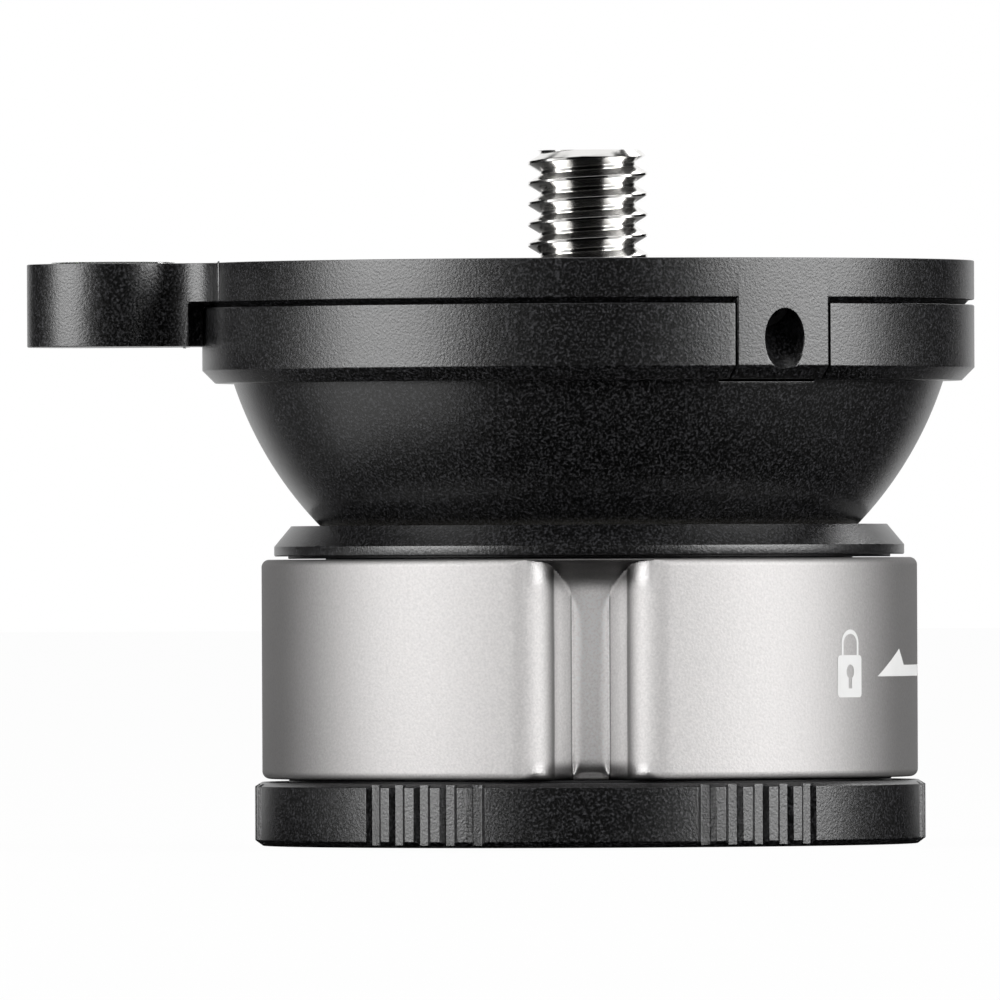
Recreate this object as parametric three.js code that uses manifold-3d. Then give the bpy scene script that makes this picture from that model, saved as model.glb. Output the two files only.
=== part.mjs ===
// Levelling tripod bowl head: a half bowl that tilts in a twist-lock base and carries a 3/8 inch camera stud.
// Millimetres, +Z up. The origin is on the main axis, in the plane of the base's underside.
import * as THREE from 'three';
import { mergeVertices } from 'three/addons/utils/BufferGeometryUtils.js';
import Module from 'manifold-3d';

const wasm = await Module();
wasm.setup();

// Bowl: every radius of the head follows from its ball
const bowlRadius = 29;
const bowlWall = 2.8;
const bowlOpeningRadius = 12;
const flangeLip = 1;
const flangeHeight = 5.85;
const flangeChamfer = 1.0;
const rimDrop = 3.15;
const rimStep = 2.9;

// Lock ring, the silver twist collar
const ringHeight = 17.02;
const ringWall = 4.85;
const ringEdgeRound = 0.6;
const ringBoreChamfer = 0.3;
const notchCount = 3;
const lockAngle = 60;

// Finger notch in the ring: two rounded lips, two flat walls and a scooped floor
const lipReach = 4.9;
const lipRound = 1.9;
const lipEndAngle = 70;
const creaseHalfWidth = 2.8;
const floorHalfWidth = 1.45;
const notchWallAngle = 52;
const floorRound = 0.9;
const notchTopRise = 1.9;
const notchTopLedge = 0.35;
const notchBottomRise = 0.55;
const notchBottomReach = 0.5;

// Base disc and sleeve
const baseLip = 0.58;
const baseHeight = 4.95;
const baseFloor = 3.9;
const baseBottomChamferIn = 0.6;
const baseBottomChamferUp = 0.45;
const baseTopChamferIn = 0.54;
const baseTopChamferDown = 0.33;
const sleeveWall = 3.9;
const bossWall = 2.0;
const gripGroups = 6;
const gripsPerGroup = 5;
const gripPitchAngle = 5.04;
const gripWidthAngle = 3.3;
const gripDepth = 0.77;

// Threaded steel bush in the base, for the tripod's 3/8 inch screw
const bushRadius = 6.4;
const bushFlangeRadius = 7.7;
const bushFlangeHeight = 1.2;
const bushRoof = 1.1;
const bushRecess = 0.2;
const tripodBoreRadius = 3.97;
const tripodBoreChamfer = 0.8;

// Plastic slip washers under and over the lock ring
const washerShow = 0.24;
const washerThickness = 0.95;
const washerInset = 1.08;
const washerWidth = 1.3;

// Seat ring that carries the bowl, and its plastic liner
const seatStep = 0.99;
const seatHeight = 2.35;
const seatContactAngle = 46.1;
const seatRimWidth = 3.58;
const seatChamferIn = 1.33;
const seatChamferDown = 1.6;
const seatChamferUp = 0.4;
const spigotDepth = 4.94;
const linerHeight = 1.7;
const linerRecess = 0.4;
const linerRim = 0.6;
const seatScrewRadius = 1.25;
const seatScrewHeadRadius = 2.25;
const seatScrewHeadHeight = 2.4;
const seatScrewBite = 3.2;
const seatScrewSocket = 1.0;
const seatScrewOffsetAngle = 60;

// Top plate with its grub screw bosses and the level's tab
const plateGap = 0.4;
const plateThickness = 3.05;
const plateEdge = 0.18;
const plateLandStep = 1.2;
const bossWidth = 8.1;
const bossSeam = 0.18;
const bossInset = 6.0;
const bossAngle = 60;
const tabOverhang = 13.6;
const tabRadius = 6.7;
const tabThickness = 6.45;
const tabNeckHalfWidth = 4.6;
const tabNeckFillet = 3.6;
const tabPadGap = 1.0;

// Bubble level in the tab
const levelRadius = 5.1;
const levelWall = 0.9;
const levelFloor = 0.8;
const levelDepth = 5.2;
const levelLens = 1.1;
const levelProud = 0.15;
const lensEdgeShare = 0.3;
const bubbleRadius = 1.7;
const bubbleFloorShare = 0.6;
const bubbleHeight = 0.6;

// Grub screws in the bosses, which push up at an angle against the head above
const grubRadius = 1.72;
const grubAngle = 43;
const grubHoleDrop = 6.3;
const grubLength = 3.2;
const grubTipLength = 1.1;
const grubTipRadius = 1.2;
const grubShy = 0.3;
const grubSocket = 1.0;

// Countersunk screws that hold the plate to the bowl
const plateScrewRadius = 1.45;
const plateScrewHeadRadius = 2.8;
const plateScrewLength = 6.4;
const plateScrewSink = 0.12;
const plateScrewSocket = 1.0;

// 3/8-16 camera stud, set in the plate and locked by a thin nut
const studRadius = 4.7;
const studRootRadius = 3.72;
const crestShare = 0.14;
const rootShare = 0.14;
const studPitch = 1.5875;
const studHeight = 8.7;
const studTail = 7.9;
const studChamfer = 0.55;
const studSocketWidth = 4;
const studSocketDepth = 3.2;
const studNutWidth = 14.3;
const studNutHeight = 3.2;

// Clamp: a carriage pulled down by the ring's cams draws a domed nut onto the bowl's inside
const clampLift = 1.2;
const carriageHeight = 5.4;
const carriageBossGap = 0.5;
const carriageSlide = 0.17;
const pinRadius = 2;
const pinHeight = 2.6;
const pinInnerReach = 9.5;
const pinBite = 1.4;
const camEndClearAngle = 0.6;
const rodRadius = 3;
const rodHeadRadius = 5;
const rodHeadHeight = 2.8;
const rodSocket = 2;
const slideThickness = 1.2;
const slideHoleAngle = 20;
const slideRimAngle = 42;
const domeRimAngle = 36;
const domeThickness = 4.8;
const domeRimHeight = 1.3;
const domeTopRadius = 8;
const discSpringRadius = 6;
const discSpringHeight = 1.1;
const clampNutWidth = 10;
const clampNutHeight = 4.6;
const rodShow = 0.6;
const springWire = 0.55;
const springTurns = 2.5;

// Clearances and overrun
const fitGap = 0.1;
const runningGap = 0.15;
const slideGap = 0.2;
const seatedGap = 0.3;
const overrun = 1;

// Facets
const ringSides = 48;
const innerSides = 32;
const partSides = 24;
const screwSides = 12;
const threadSides = 16;
const arcSteps = 3;
const camSteps = 12;
const outerDishSteps = 7;
const innerDishSteps = 5;

// Places that follow from the sizes above
const baseTop = baseHeight;
const ringBottom = baseTop + washerShow;
const ringTop = ringBottom + ringHeight;
const seatBottom = ringTop + washerShow;
const seatTop = seatBottom + seatHeight;
const contactRadius = bowlRadius * Math.sin(THREE.MathUtils.degToRad(seatContactAngle));
const seatRadius = contactRadius + seatRimWidth;
const ringRadius = seatRadius + seatStep;
const ringBore = ringRadius - ringWall;
const sleeveRadius = ringBore - runningGap;
const cavityRadius = sleeveRadius - sleeveWall;
const springRadius = (cavityRadius + bushRadius + bossWall) / 2;
const baseRadius = ringRadius + baseLip;
const washerOuter = seatRadius - washerInset;
const washerInner = washerOuter - washerWidth;
const bowlCentre = seatTop + Math.sqrt(bowlRadius ** 2 - contactRadius ** 2);
const bowlInner = bowlRadius - bowlWall;
const flangeRadius = bowlRadius + flangeLip;
const rimBoreRadius = bowlInner - rimStep;
const plateScrewCircle = (rimBoreRadius + flangeRadius) / 2;
const rimTop = bowlCentre - rimDrop;
const flangeBottom = rimTop - flangeHeight;
const plateBottom = rimTop + plateGap;
const plateTop = plateBottom + plateThickness;
const spigotBottom = seatBottom - spigotDepth;
const bowlBottom = bowlCentre - bowlRadius;
const carriageTop = bowlBottom - clampLift - slideGap - fitGap;
const carriageBottom = carriageTop - carriageHeight;
const bossTop = carriageBottom - carriageBossGap;
const pinZ = carriageBottom + pinHeight;
const linerTop = seatTop - linerRecess;
const linerBottom = linerTop - linerHeight;
const linerRadius = contactRadius + linerRim;
const linerInner = bowlRadius + slideGap;
const clearSphere = bowlRadius + seatedGap;
const screwCircle = sleeveRadius - sleeveWall / 2;
const slideOuter = bowlInner - slideGap;
const slideInner = slideOuter - slideThickness;
const domeRadius = slideInner - slideGap;
const domeRimBottom = bowlCentre - domeRadius * Math.cos(THREE.MathUtils.degToRad(domeRimAngle));
const domeTop = Math.max(bowlCentre - domeRadius + domeThickness, domeRimBottom);
const clampNutBottom = domeTop + discSpringHeight + 2 * fitGap;
const rodTop = clampNutBottom + clampNutHeight + rodShow;

const finishes = {
  blackAnodised: { color: 0x17181a, roughness: 0.42, metalness: 0.75 },
  silverAnodised: { color: 0xcbc5c1, roughness: 0.38, metalness: 0.85 },
  steel: { color: 0xb9b7b2, roughness: 0.22, metalness: 1 },
  blackSteel: { color: 0x1d1d1f, roughness: 0.4, metalness: 0.8 },
  bronze: { color: 0xa9793f, roughness: 0.35, metalness: 1 },
  springSteel: { color: 0x8f8f92, roughness: 0.3, metalness: 1 },
  slipPlastic: { color: 0xe4e1da, roughness: 0.55, metalness: 0 },
  blackAcetal: { color: 0x141414, roughness: 0.5, metalness: 0 },
  nylon: { color: 0xd9d6cc, roughness: 0.6, metalness: 0 },
  levelHousing: { color: 0xf2f2ee, roughness: 0.3, metalness: 0 },
  levelFluid: { color: 0xb8e23a, roughness: 0.1, metalness: 0 },
  levelLens: { color: 0xe9f3ee, roughness: 0.05, metalness: 0 },
};

const head = new THREE.Group();
const radians = THREE.MathUtils.degToRad;

// A closed geometry's position-only form, with shared vertices merged, flat triangles dropped and faces outward
function closed(geometry) {
  const bare = geometry.clone();
  bare.deleteAttribute('normal');
  bare.deleteAttribute('uv');
  const merged = mergeVertices(bare, 1e-5);
  const corners = [];
  const index = merged.index.array;
  for (let i = 0; i < index.length; i += 3) {
    const [a, b, c] = [index[i], index[i + 1], index[i + 2]];
    if (a !== b && b !== c && c !== a) corners.push(a, b, c);
  }
  const place = merged.attributes.position;
  const [p, q, r] = [new THREE.Vector3(), new THREE.Vector3(), new THREE.Vector3()];
  let volume = 0;
  for (let i = 0; i < corners.length; i += 3) {
    p.fromBufferAttribute(place, corners[i]);
    q.fromBufferAttribute(place, corners[i + 1]);
    r.fromBufferAttribute(place, corners[i + 2]);
    volume += p.dot(q.cross(r));
  }
  if (volume < 0) corners.reverse();
  merged.setIndex(corners);
  return merged;
}

function solid(geometry) {
  const shape = closed(geometry);
  const mesh = new wasm.Mesh({
    numProp: 3,
    vertProperties: new Float32Array(shape.attributes.position.array),
    triVerts: new Uint32Array(shape.index.array),
  });
  return new wasm.Manifold(mesh);
}

function surface(manifold) {
  const mesh = manifold.getMesh();
  const geometry = new THREE.BufferGeometry();
  geometry.setAttribute('position', new THREE.Float32BufferAttribute(mesh.vertProperties, 3));
  geometry.setIndex(Array.from(mesh.triVerts));
  geometry.computeVertexNormals();
  return geometry;
}

function add(name, shape, finish) {
  const geometry = shape.getMesh ? surface(shape) : closed(shape);
  const mesh = new THREE.Mesh(geometry, new THREE.MeshStandardMaterial(finish));
  mesh.name = name;
  head.add(mesh);
  return mesh;
}

// A profile of [radius, height] points, turned about the Z axis
function turned(profile, sides = ringSides) {
  const points = profile.map(([r, z]) => new THREE.Vector2(r, z));
  points.push(points[0].clone());
  return new THREE.LatheGeometry(points, sides).rotateX(Math.PI / 2);
}

function disc(radius, bottom, top, sides = partSides) {
  return turned([[0, bottom], [radius, bottom], [radius, top], [0, top]], sides);
}

// A flat outline of [x, y] points, drawn up from bottom to top
function upright(outline, bottom, top) {
  const shape = new THREE.Shape(outline.map(([x, y]) => new THREE.Vector2(x, y)));
  const geometry = new THREE.ExtrudeGeometry(shape, { depth: top - bottom, bevelEnabled: false });
  return geometry.translate(0, 0, bottom);
}

function polygon(radius, sides, start = 0) {
  return Array.from({ length: sides }, (_, i) => {
    const turn = start + (2 * Math.PI * i) / sides;
    return [radius * Math.cos(turn), radius * Math.sin(turn)];
  });
}

function hexagon(acrossFlats) {
  return polygon(acrossFlats / Math.sqrt(3), 6);
}

// Points of a circular arc about [x, y], angles in degrees
function arc(x, y, radius, from, to, steps = arcSteps) {
  return Array.from({ length: steps + 1 }, (_, i) => {
    const turn = radians(from + ((to - from) * i) / steps);
    return [x + radius * Math.cos(turn), y + radius * Math.sin(turn)];
  });
}

// Points on a sphere about the bowl's centre, angles in degrees from straight down
function dish(radius, from, to, steps) {
  return arc(0, bowlCentre, radius, from - 90, to - 90, steps);
}

const dishAngle = (radius, r) => THREE.MathUtils.radToDeg(Math.asin(r / radius));
const dishAngleAt = (radius, z) => THREE.MathUtils.radToDeg(Math.acos((bowlCentre - z) / radius));

function aroundAxis(shape, turn) {
  return shape.clone().rotateZ(radians(turn));
}

// Azimuths are counted from +X, counter-clockwise seen from above; the front of the head is at -90
const frontAzimuth = -90;
const thirds = [0, 120, 240];

function baseBody() {
  const recessOuter = washerOuter + fitGap;
  const recessInner = washerInner - fitGap;
  const recessFloor = ringBottom - washerThickness;
  const bodyProfile = [
    [0, 0],
    [baseRadius - baseBottomChamferIn, 0],
    [baseRadius, baseBottomChamferUp],
    [baseRadius, baseTop - baseTopChamferDown],
    [baseRadius - baseTopChamferIn, baseTop],
    [recessOuter, baseTop],
    [recessOuter, recessFloor],
    [recessInner, recessFloor],
    [recessInner, baseTop],
    [sleeveRadius, baseTop],
    [sleeveRadius, spigotBottom],
    [cavityRadius, spigotBottom],
    [cavityRadius, baseFloor],
    [bushRadius + bossWall, baseFloor],
    [bushRadius + bossWall, bossTop],
    [0, bossTop],
  ];
  let body = solid(turned(bodyProfile));
  const bushTop = bossTop - bushRoof;
  body = body.subtract(solid(turned([
    [0, -overrun],
    [bushFlangeRadius + fitGap, -overrun],
    [bushFlangeRadius + fitGap, bushRecess + bushFlangeHeight],
    [bushRadius + fitGap, bushRecess + bushFlangeHeight],
    [bushRadius + fitGap, bushTop],
    [0, bushTop],
  ], partSides)));
  const grip = upright([
    [baseRadius - gripDepth, -gripHalfWidth()],
    [baseRadius + overrun, -gripHalfWidth()],
    [baseRadius + overrun, gripHalfWidth()],
    [baseRadius - gripDepth, gripHalfWidth()],
  ], -overrun, baseTop + overrun);
  const groupTurn = 360 / gripGroups;
  for (let group = 0; group < gripGroups; group++) {
    for (let i = 0; i < gripsPerGroup; i++) {
      const offset = (i - (gripsPerGroup - 1) / 2) * gripPitchAngle;
      body = body.subtract(solid(aroundAxis(grip, frontAzimuth + groupTurn * (group + 0.5) + offset)));
    }
  }
  const windowHalf = pinRadius + seatedGap;
  for (const turn of thirds) {
    const opening = upright([
      [cavityRadius - overrun, -windowHalf],
      [sleeveRadius + overrun, -windowHalf],
      [sleeveRadius + overrun, windowHalf],
      [cavityRadius - overrun, windowHalf],
    ], pinZ - windowHalf, pinZ + clampLift + windowHalf);
    body = body.subtract(solid(aroundAxis(opening, turn)));
    body = body.subtract(solid(aroundAxis(seatScrewHole(), turn + seatScrewOffsetAngle)));
  }
  return body;
}

function gripHalfWidth() {
  return baseRadius * Math.tan(radians(gripWidthAngle / 2));
}

function seatScrewHole() {
  const headTop = bushRecess + seatScrewHeadHeight + fitGap;
  return turned([
    [0, -overrun],
    [seatScrewHeadRadius + fitGap, -overrun],
    [seatScrewHeadRadius + fitGap, headTop],
    [seatScrewRadius + fitGap, headTop],
    [seatScrewRadius + fitGap, spigotBottom + seatScrewBite],
    [0, spigotBottom + seatScrewBite],
  ], screwSides).translate(screwCircle, 0, 0);
}

function seatScrew(turn) {
  const headTop = bushRecess + seatScrewHeadHeight;
  const screw = solid(turned([
    [0, bushRecess],
    [seatScrewHeadRadius, bushRecess],
    [seatScrewHeadRadius, headTop],
    [seatScrewRadius, headTop],
    [seatScrewRadius, spigotBottom + seatScrewBite - fitGap],
    [0, spigotBottom + seatScrewBite - fitGap],
  ], screwSides));
  const socket = upright(hexagon(2 * seatScrewSocket), -overrun, bushRecess + seatScrewHeadHeight / 2);
  return surface(screw.subtract(solid(socket))).translate(screwCircle, 0, 0).rotateZ(radians(turn));
}

function bowlSeat() {
  const recessOuter = washerOuter + fitGap;
  const recessInner = washerInner - fitGap;
  const recessRoof = seatBottom - washerShow + washerThickness;
  const pocketRadius = linerRadius + fitGap;
  const boreEnd = bowlCentre - Math.sqrt(clearSphere ** 2 - cavityRadius ** 2);
  const pocketInner = Math.sqrt(clearSphere ** 2 - (bowlCentre - linerBottom) ** 2);
  const profile = [
    [cavityRadius, spigotBottom],
    [sleeveRadius, spigotBottom],
    [sleeveRadius, seatBottom],
    [recessInner, seatBottom],
    [recessInner, recessRoof],
    [recessOuter, recessRoof],
    [recessOuter, seatBottom],
    [seatRadius - seatChamferUp, seatBottom],
    [seatRadius, seatBottom + seatChamferUp],
    [seatRadius, seatTop - seatChamferDown],
    [Math.max(seatRadius - seatChamferIn, pocketRadius + fitGap), seatTop],
    [pocketRadius, seatTop],
    [pocketRadius, linerBottom],
    [pocketInner, linerBottom],
    ...dish(clearSphere, dishAngleAt(clearSphere, linerBottom), dishAngleAt(clearSphere, boreEnd), 3).slice(1),
  ];
  let seat = solid(turned(profile));
  for (const turn of thirds) {
    seat = seat.subtract(solid(aroundAxis(seatScrewHole(), turn + seatScrewOffsetAngle)));
  }
  return seat;
}

function seatLiner() {
  const from = dishAngleAt(linerInner, linerBottom);
  const to = dishAngleAt(linerInner, linerTop);
  return turned([
    ...dish(linerInner, to, from, 3),
    [linerRadius, linerBottom],
    [linerRadius, linerTop],
  ], innerSides);
}

function tripodBush() {
  const top = bossTop - bushRoof - fitGap;
  return turned([
    [tripodBoreRadius, bushRecess + tripodBoreChamfer],
    [tripodBoreRadius + tripodBoreChamfer, bushRecess],
    [bushFlangeRadius, bushRecess],
    [bushFlangeRadius, bushRecess + bushFlangeHeight - fitGap],
    [bushRadius, bushRecess + bushFlangeHeight - fitGap],
    [bushRadius, top],
    [tripodBoreRadius, top],
  ], partSides);
}

function slipWasher(bottom) {
  const top = bottom + washerThickness - fitGap;
  return turned([[washerInner, bottom], [washerOuter, bottom], [washerOuter, top], [washerInner, top]]);
}

// The notch's outline on the left of its middle, from the ring's outside to the floor, as [across, depth]
function notchHalfOutline() {
  const startAngle = THREE.MathUtils.radToDeg(Math.asin(lipReach / ringRadius));
  const lipAngles = Array.from({ length: arcSteps + 1 }, (_, i) => (
    -startAngle + ((lipEndAngle + startAngle) * i) / arcSteps
  ));
  const lipSpan = lipReach - creaseHalfWidth;
  const turnSpan = Math.sin(radians(lipEndAngle)) + Math.sin(radians(startAngle));
  const round = Math.min(lipRound, lipSpan / turnSpan);
  const surfaceDrop = ringRadius - Math.sqrt(ringRadius ** 2 - lipReach ** 2);
  const points = lipAngles.map((turn) => [
    lipReach - round * (Math.sin(radians(turn)) + Math.sin(radians(startAngle))),
    surfaceDrop + round * (Math.cos(radians(startAngle)) - Math.cos(radians(turn))),
  ]);
  const creaseDepth = points.at(-1)[1];
  const wallRun = points.at(-1)[0] - floorHalfWidth;
  const wallDepth = creaseDepth + wallRun * Math.tan(radians(notchWallAngle));
  points.push([floorHalfWidth, wallDepth]);
  const scoop = floorRound / Math.sin(radians(notchWallAngle));
  for (const share of [0.5, 1]) {
    const turn = radians(notchWallAngle * (1 - share));
    points.push([
      floorHalfWidth - scoop * (Math.sin(radians(notchWallAngle)) - Math.sin(turn)),
      wallDepth + scoop * (Math.cos(turn) - Math.cos(radians(notchWallAngle))),
    ]);
  }
  return points;
}

function notchCutter() {
  const half = notchHalfOutline();
  const outside = [[lipReach, -overrun], ...half];
  const left = outside.map(([across, depth]) => [-across, -(ringRadius - depth)]);
  const right = outside.map(([across, depth]) => [across, -(ringRadius - depth)]).reverse();
  const outline = solid(upright([...left, ...right], ringBottom - overrun, ringTop + overrun));
  const deepest = half.at(-1)[1];
  const floor = ringRadius - deepest;
  const ledge = ringRadius - notchTopLedge;
  const scoop = arc(0, 0, 1, 90, 0).map(([across, up]) => [
    ledge - (ledge - floor) * across,
    ringTop - notchTopRise * (1 - up),
  ]);
  const open = turned([
    [ringRadius + overrun, ringBottom - overrun],
    [ringRadius + overrun, ringTop + overrun],
    [ledge, ringTop + overrun],
    ...scoop,
    [floor, ringBottom + notchBottomRise],
    [floor + notchBottomReach, ringBottom],
    [floor + notchBottomReach, ringBottom - overrun],
  ]);
  return outline.intersect(solid(open));
}

// A cam groove in the ring's bore: it climbs away from the locked end by the clamp's lift
function camGroove() {
  const half = pinRadius + runningGap;
  const endTurn = THREE.MathUtils.radToDeg(half / ringBore) + camEndClearAngle;
  const inner = sleeveRadius - overrun;
  const outer = ringBore + pinBite + seatedGap;
  const positions = [];
  for (let i = 0; i <= camSteps; i++) {
    const turn = endTurn - ((lockAngle + 2 * endTurn) * i) / camSteps;
    const climb = (clampLift * THREE.MathUtils.clamp(-turn, 0, lockAngle)) / lockAngle;
    const [c, s] = [Math.cos(radians(turn)), Math.sin(radians(turn))];
    for (const [r, z] of [[inner, -half], [outer, -half], [outer, half], [inner, half]]) {
      positions.push(r * c, r * s, pinZ + climb + z);
    }
  }
  const index = [0, 1, 2, 0, 2, 3];
  for (let i = 0; i < camSteps; i++) {
    for (let k = 0; k < 4; k++) {
      const [a, b] = [4 * i + k, 4 * i + ((k + 1) % 4)];
      index.push(a, a + 4, b + 4, a, b + 4, b);
    }
  }
  const last = 4 * camSteps;
  index.push(last, last + 2, last + 1, last, last + 3, last + 2);
  const geometry = new THREE.BufferGeometry();
  geometry.setAttribute('position', new THREE.Float32BufferAttribute(positions, 3));
  geometry.setIndex(index);
  return geometry;
}

function lockRing() {
  const round = ringEdgeRound;
  let ring = solid(turned([
    [ringBore + ringBoreChamfer, ringBottom],
    ...arc(ringRadius - round, ringBottom + round, round, -90, 0),
    ...arc(ringRadius - round, ringTop - round, round, 0, 90),
    [ringBore + ringBoreChamfer, ringTop],
    [ringBore, ringTop - ringBoreChamfer],
    [ringBore, ringBottom + ringBoreChamfer],
  ]));
  const notch = notchCutter();
  for (let i = 0; i < notchCount; i++) {
    const turn = (360 * i) / notchCount;
    ring = ring.subtract(notch.rotate([0, 0, turn]));
  }
  for (const turn of thirds) ring = ring.subtract(solid(aroundAxis(camGroove(), turn)));
  return ring;
}

function bowl() {
  const openingAngle = dishAngle(bowlRadius, bowlOpeningRadius);
  const flangeAngle = dishAngleAt(bowlRadius, flangeBottom);
  const innerOpening = dishAngle(bowlInner, bowlOpeningRadius);
  const innerEnd = dishAngle(bowlInner, rimBoreRadius);
  let shell = solid(turned([
    ...dish(bowlRadius, openingAngle, flangeAngle, outerDishSteps),
    [flangeRadius - flangeChamfer, flangeBottom],
    [flangeRadius, flangeBottom + flangeChamfer],
    [flangeRadius, rimTop],
    [rimBoreRadius, rimTop],
    ...dish(bowlInner, innerEnd, innerOpening, innerDishSteps),
  ]));
  const notchHalf = bossWidth / 2 + bossSeam;
  const notch = upright([
    [rimBoreRadius - overrun, -notchHalf],
    [flangeRadius + overrun, -notchHalf],
    [flangeRadius + overrun, notchHalf],
    [rimBoreRadius - overrun, notchHalf],
  ], flangeBottom - bossSeam, rimTop + overrun);
  for (const turn of [bossAngle, -bossAngle]) shell = shell.subtract(solid(aroundAxis(notch, turn)));
  for (const turn of thirds) {
    const hole = disc(plateScrewRadius + fitGap, plateTop - plateScrewLength - plateScrewSink - fitGap,
      rimTop + overrun, screwSides).translate(plateScrewCircle, 0, 0);
    shell = shell.subtract(solid(aroundAxis(hole, turn)));
  }
  return shell;
}

// The grub screw's line: it enters the boss at grubHoleDrop below the plate's top and climbs inwards
function alongGrub(shape, distance, turn) {
  return shape.clone()
    .translate(0, 0, distance)
    .rotateY(radians(grubAngle - 90))
    .translate(flangeRadius, 0, plateTop - grubHoleDrop)
    .rotateZ(radians(turn));
}

function grubRun() {
  return grubHoleDrop / Math.sin(radians(grubAngle));
}

// Where the tip ends along its line: its upper edge stays just under the plate's top
function grubEnd() {
  const shy = grubShy + grubTipRadius * Math.cos(radians(grubAngle));
  return grubRun() - shy / Math.sin(radians(grubAngle));
}

function topPlate() {
  const landRadius = flangeRadius - plateLandStep;
  let plate = solid(turned([
    [0, rimTop],
    [landRadius, rimTop],
    [landRadius, plateBottom],
    [flangeRadius, plateBottom],
    [flangeRadius, plateTop - plateEdge],
    [flangeRadius - plateEdge, plateTop],
    [0, plateTop],
  ]));
  const half = bossWidth / 2;
  const bossBlock = upright([
    [flangeRadius - bossInset, -half],
    [flangeRadius + overrun, -half],
    [flangeRadius + overrun, half],
    [flangeRadius - bossInset, half],
  ], flangeBottom, plateBottom + overrun);
  const flangeShape = solid(turned([
    [0, flangeBottom],
    [flangeRadius - flangeChamfer, flangeBottom],
    [flangeRadius, flangeBottom + flangeChamfer],
    [flangeRadius, plateTop - plateEdge],
    [0, plateTop - plateEdge],
  ]));
  for (const turn of [bossAngle, -bossAngle]) {
    plate = plate.add(solid(aroundAxis(bossBlock, turn)).intersect(flangeShape));
  }
  plate = plate.add(solid(tabNeck())).add(solid(tabPad()));
  const grubHole = disc(grubRadius + fitGap, -3 * overrun, grubRun() + 3 * overrun, screwSides);
  for (const turn of [bossAngle, -bossAngle]) plate = plate.subtract(solid(alongGrub(grubHole, 0, turn)));
  plate = plate.subtract(solid(disc(studRadius + fitGap, rimTop - overrun, plateTop + overrun)));
  plate = plate.subtract(solid(
    disc(levelRadius + fitGap, plateTop - levelDepth, plateTop + overrun).translate(tabCentre(), 0, 0)));
  for (const turn of thirds) plate = plate.subtract(solid(aroundAxis(plateScrewShape(fitGap, overrun), turn)));
  return plate;
}

function tabCentre() {
  return -(flangeRadius + tabOverhang - tabRadius);
}

function tabPad() {
  const bottom = plateTop - tabThickness;
  const flat = flangeRadius + tabPadGap;
  const whole = solid(disc(tabRadius, bottom, plateTop, partSides * 2).translate(tabCentre(), 0, 0));
  const clear = solid(disc(flat, bottom - overrun, plateBottom, ringSides));
  return surface(whole.subtract(clear));
}

// The neck between the disc and the round pad, with a concave fillet on each side
function tabNeck() {
  const half = Math.min(tabNeckHalfWidth, tabRadius);
  const start = -(flangeRadius - plateLandStep * 2);
  const end = tabCentre();
  const flare = tabNeckFillet;
  const side = [
    [start, half + flare],
    ...arc(start - flare, half + flare, flare, 0, -90).slice(1),
    [end, half],
  ];
  const mirrored = side.map(([x, y]) => [x, -y]).reverse();
  return upright([...side, ...mirrored], plateBottom, plateTop);
}

function plateScrewShape(gap, headAbove) {
  const top = plateTop - plateScrewSink;
  const neck = top - (plateScrewHeadRadius - plateScrewRadius);
  return turned([
    [0, top - plateScrewLength - gap],
    [plateScrewRadius + gap, top - plateScrewLength - gap],
    [plateScrewRadius + gap, neck - gap / 2],
    [plateScrewHeadRadius + gap, top - gap / 2],
    [plateScrewHeadRadius + gap, top + headAbove],
    [0, top + headAbove],
  ], screwSides).translate(plateScrewCircle, 0, 0);
}

function plateScrew(turn) {
  const top = plateTop - plateScrewSink;
  const neck = top - (plateScrewHeadRadius - plateScrewRadius);
  const screw = solid(turned([
    [0, top - plateScrewLength],
    [plateScrewRadius, top - plateScrewLength],
    [plateScrewRadius, neck],
    [plateScrewHeadRadius, top],
    [0, top],
  ], screwSides));
  const socket = upright(hexagon(2 * plateScrewSocket), neck, top + overrun);
  return surface(screw.subtract(solid(socket))).translate(plateScrewCircle, 0, 0).rotateZ(radians(turn));
}

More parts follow.
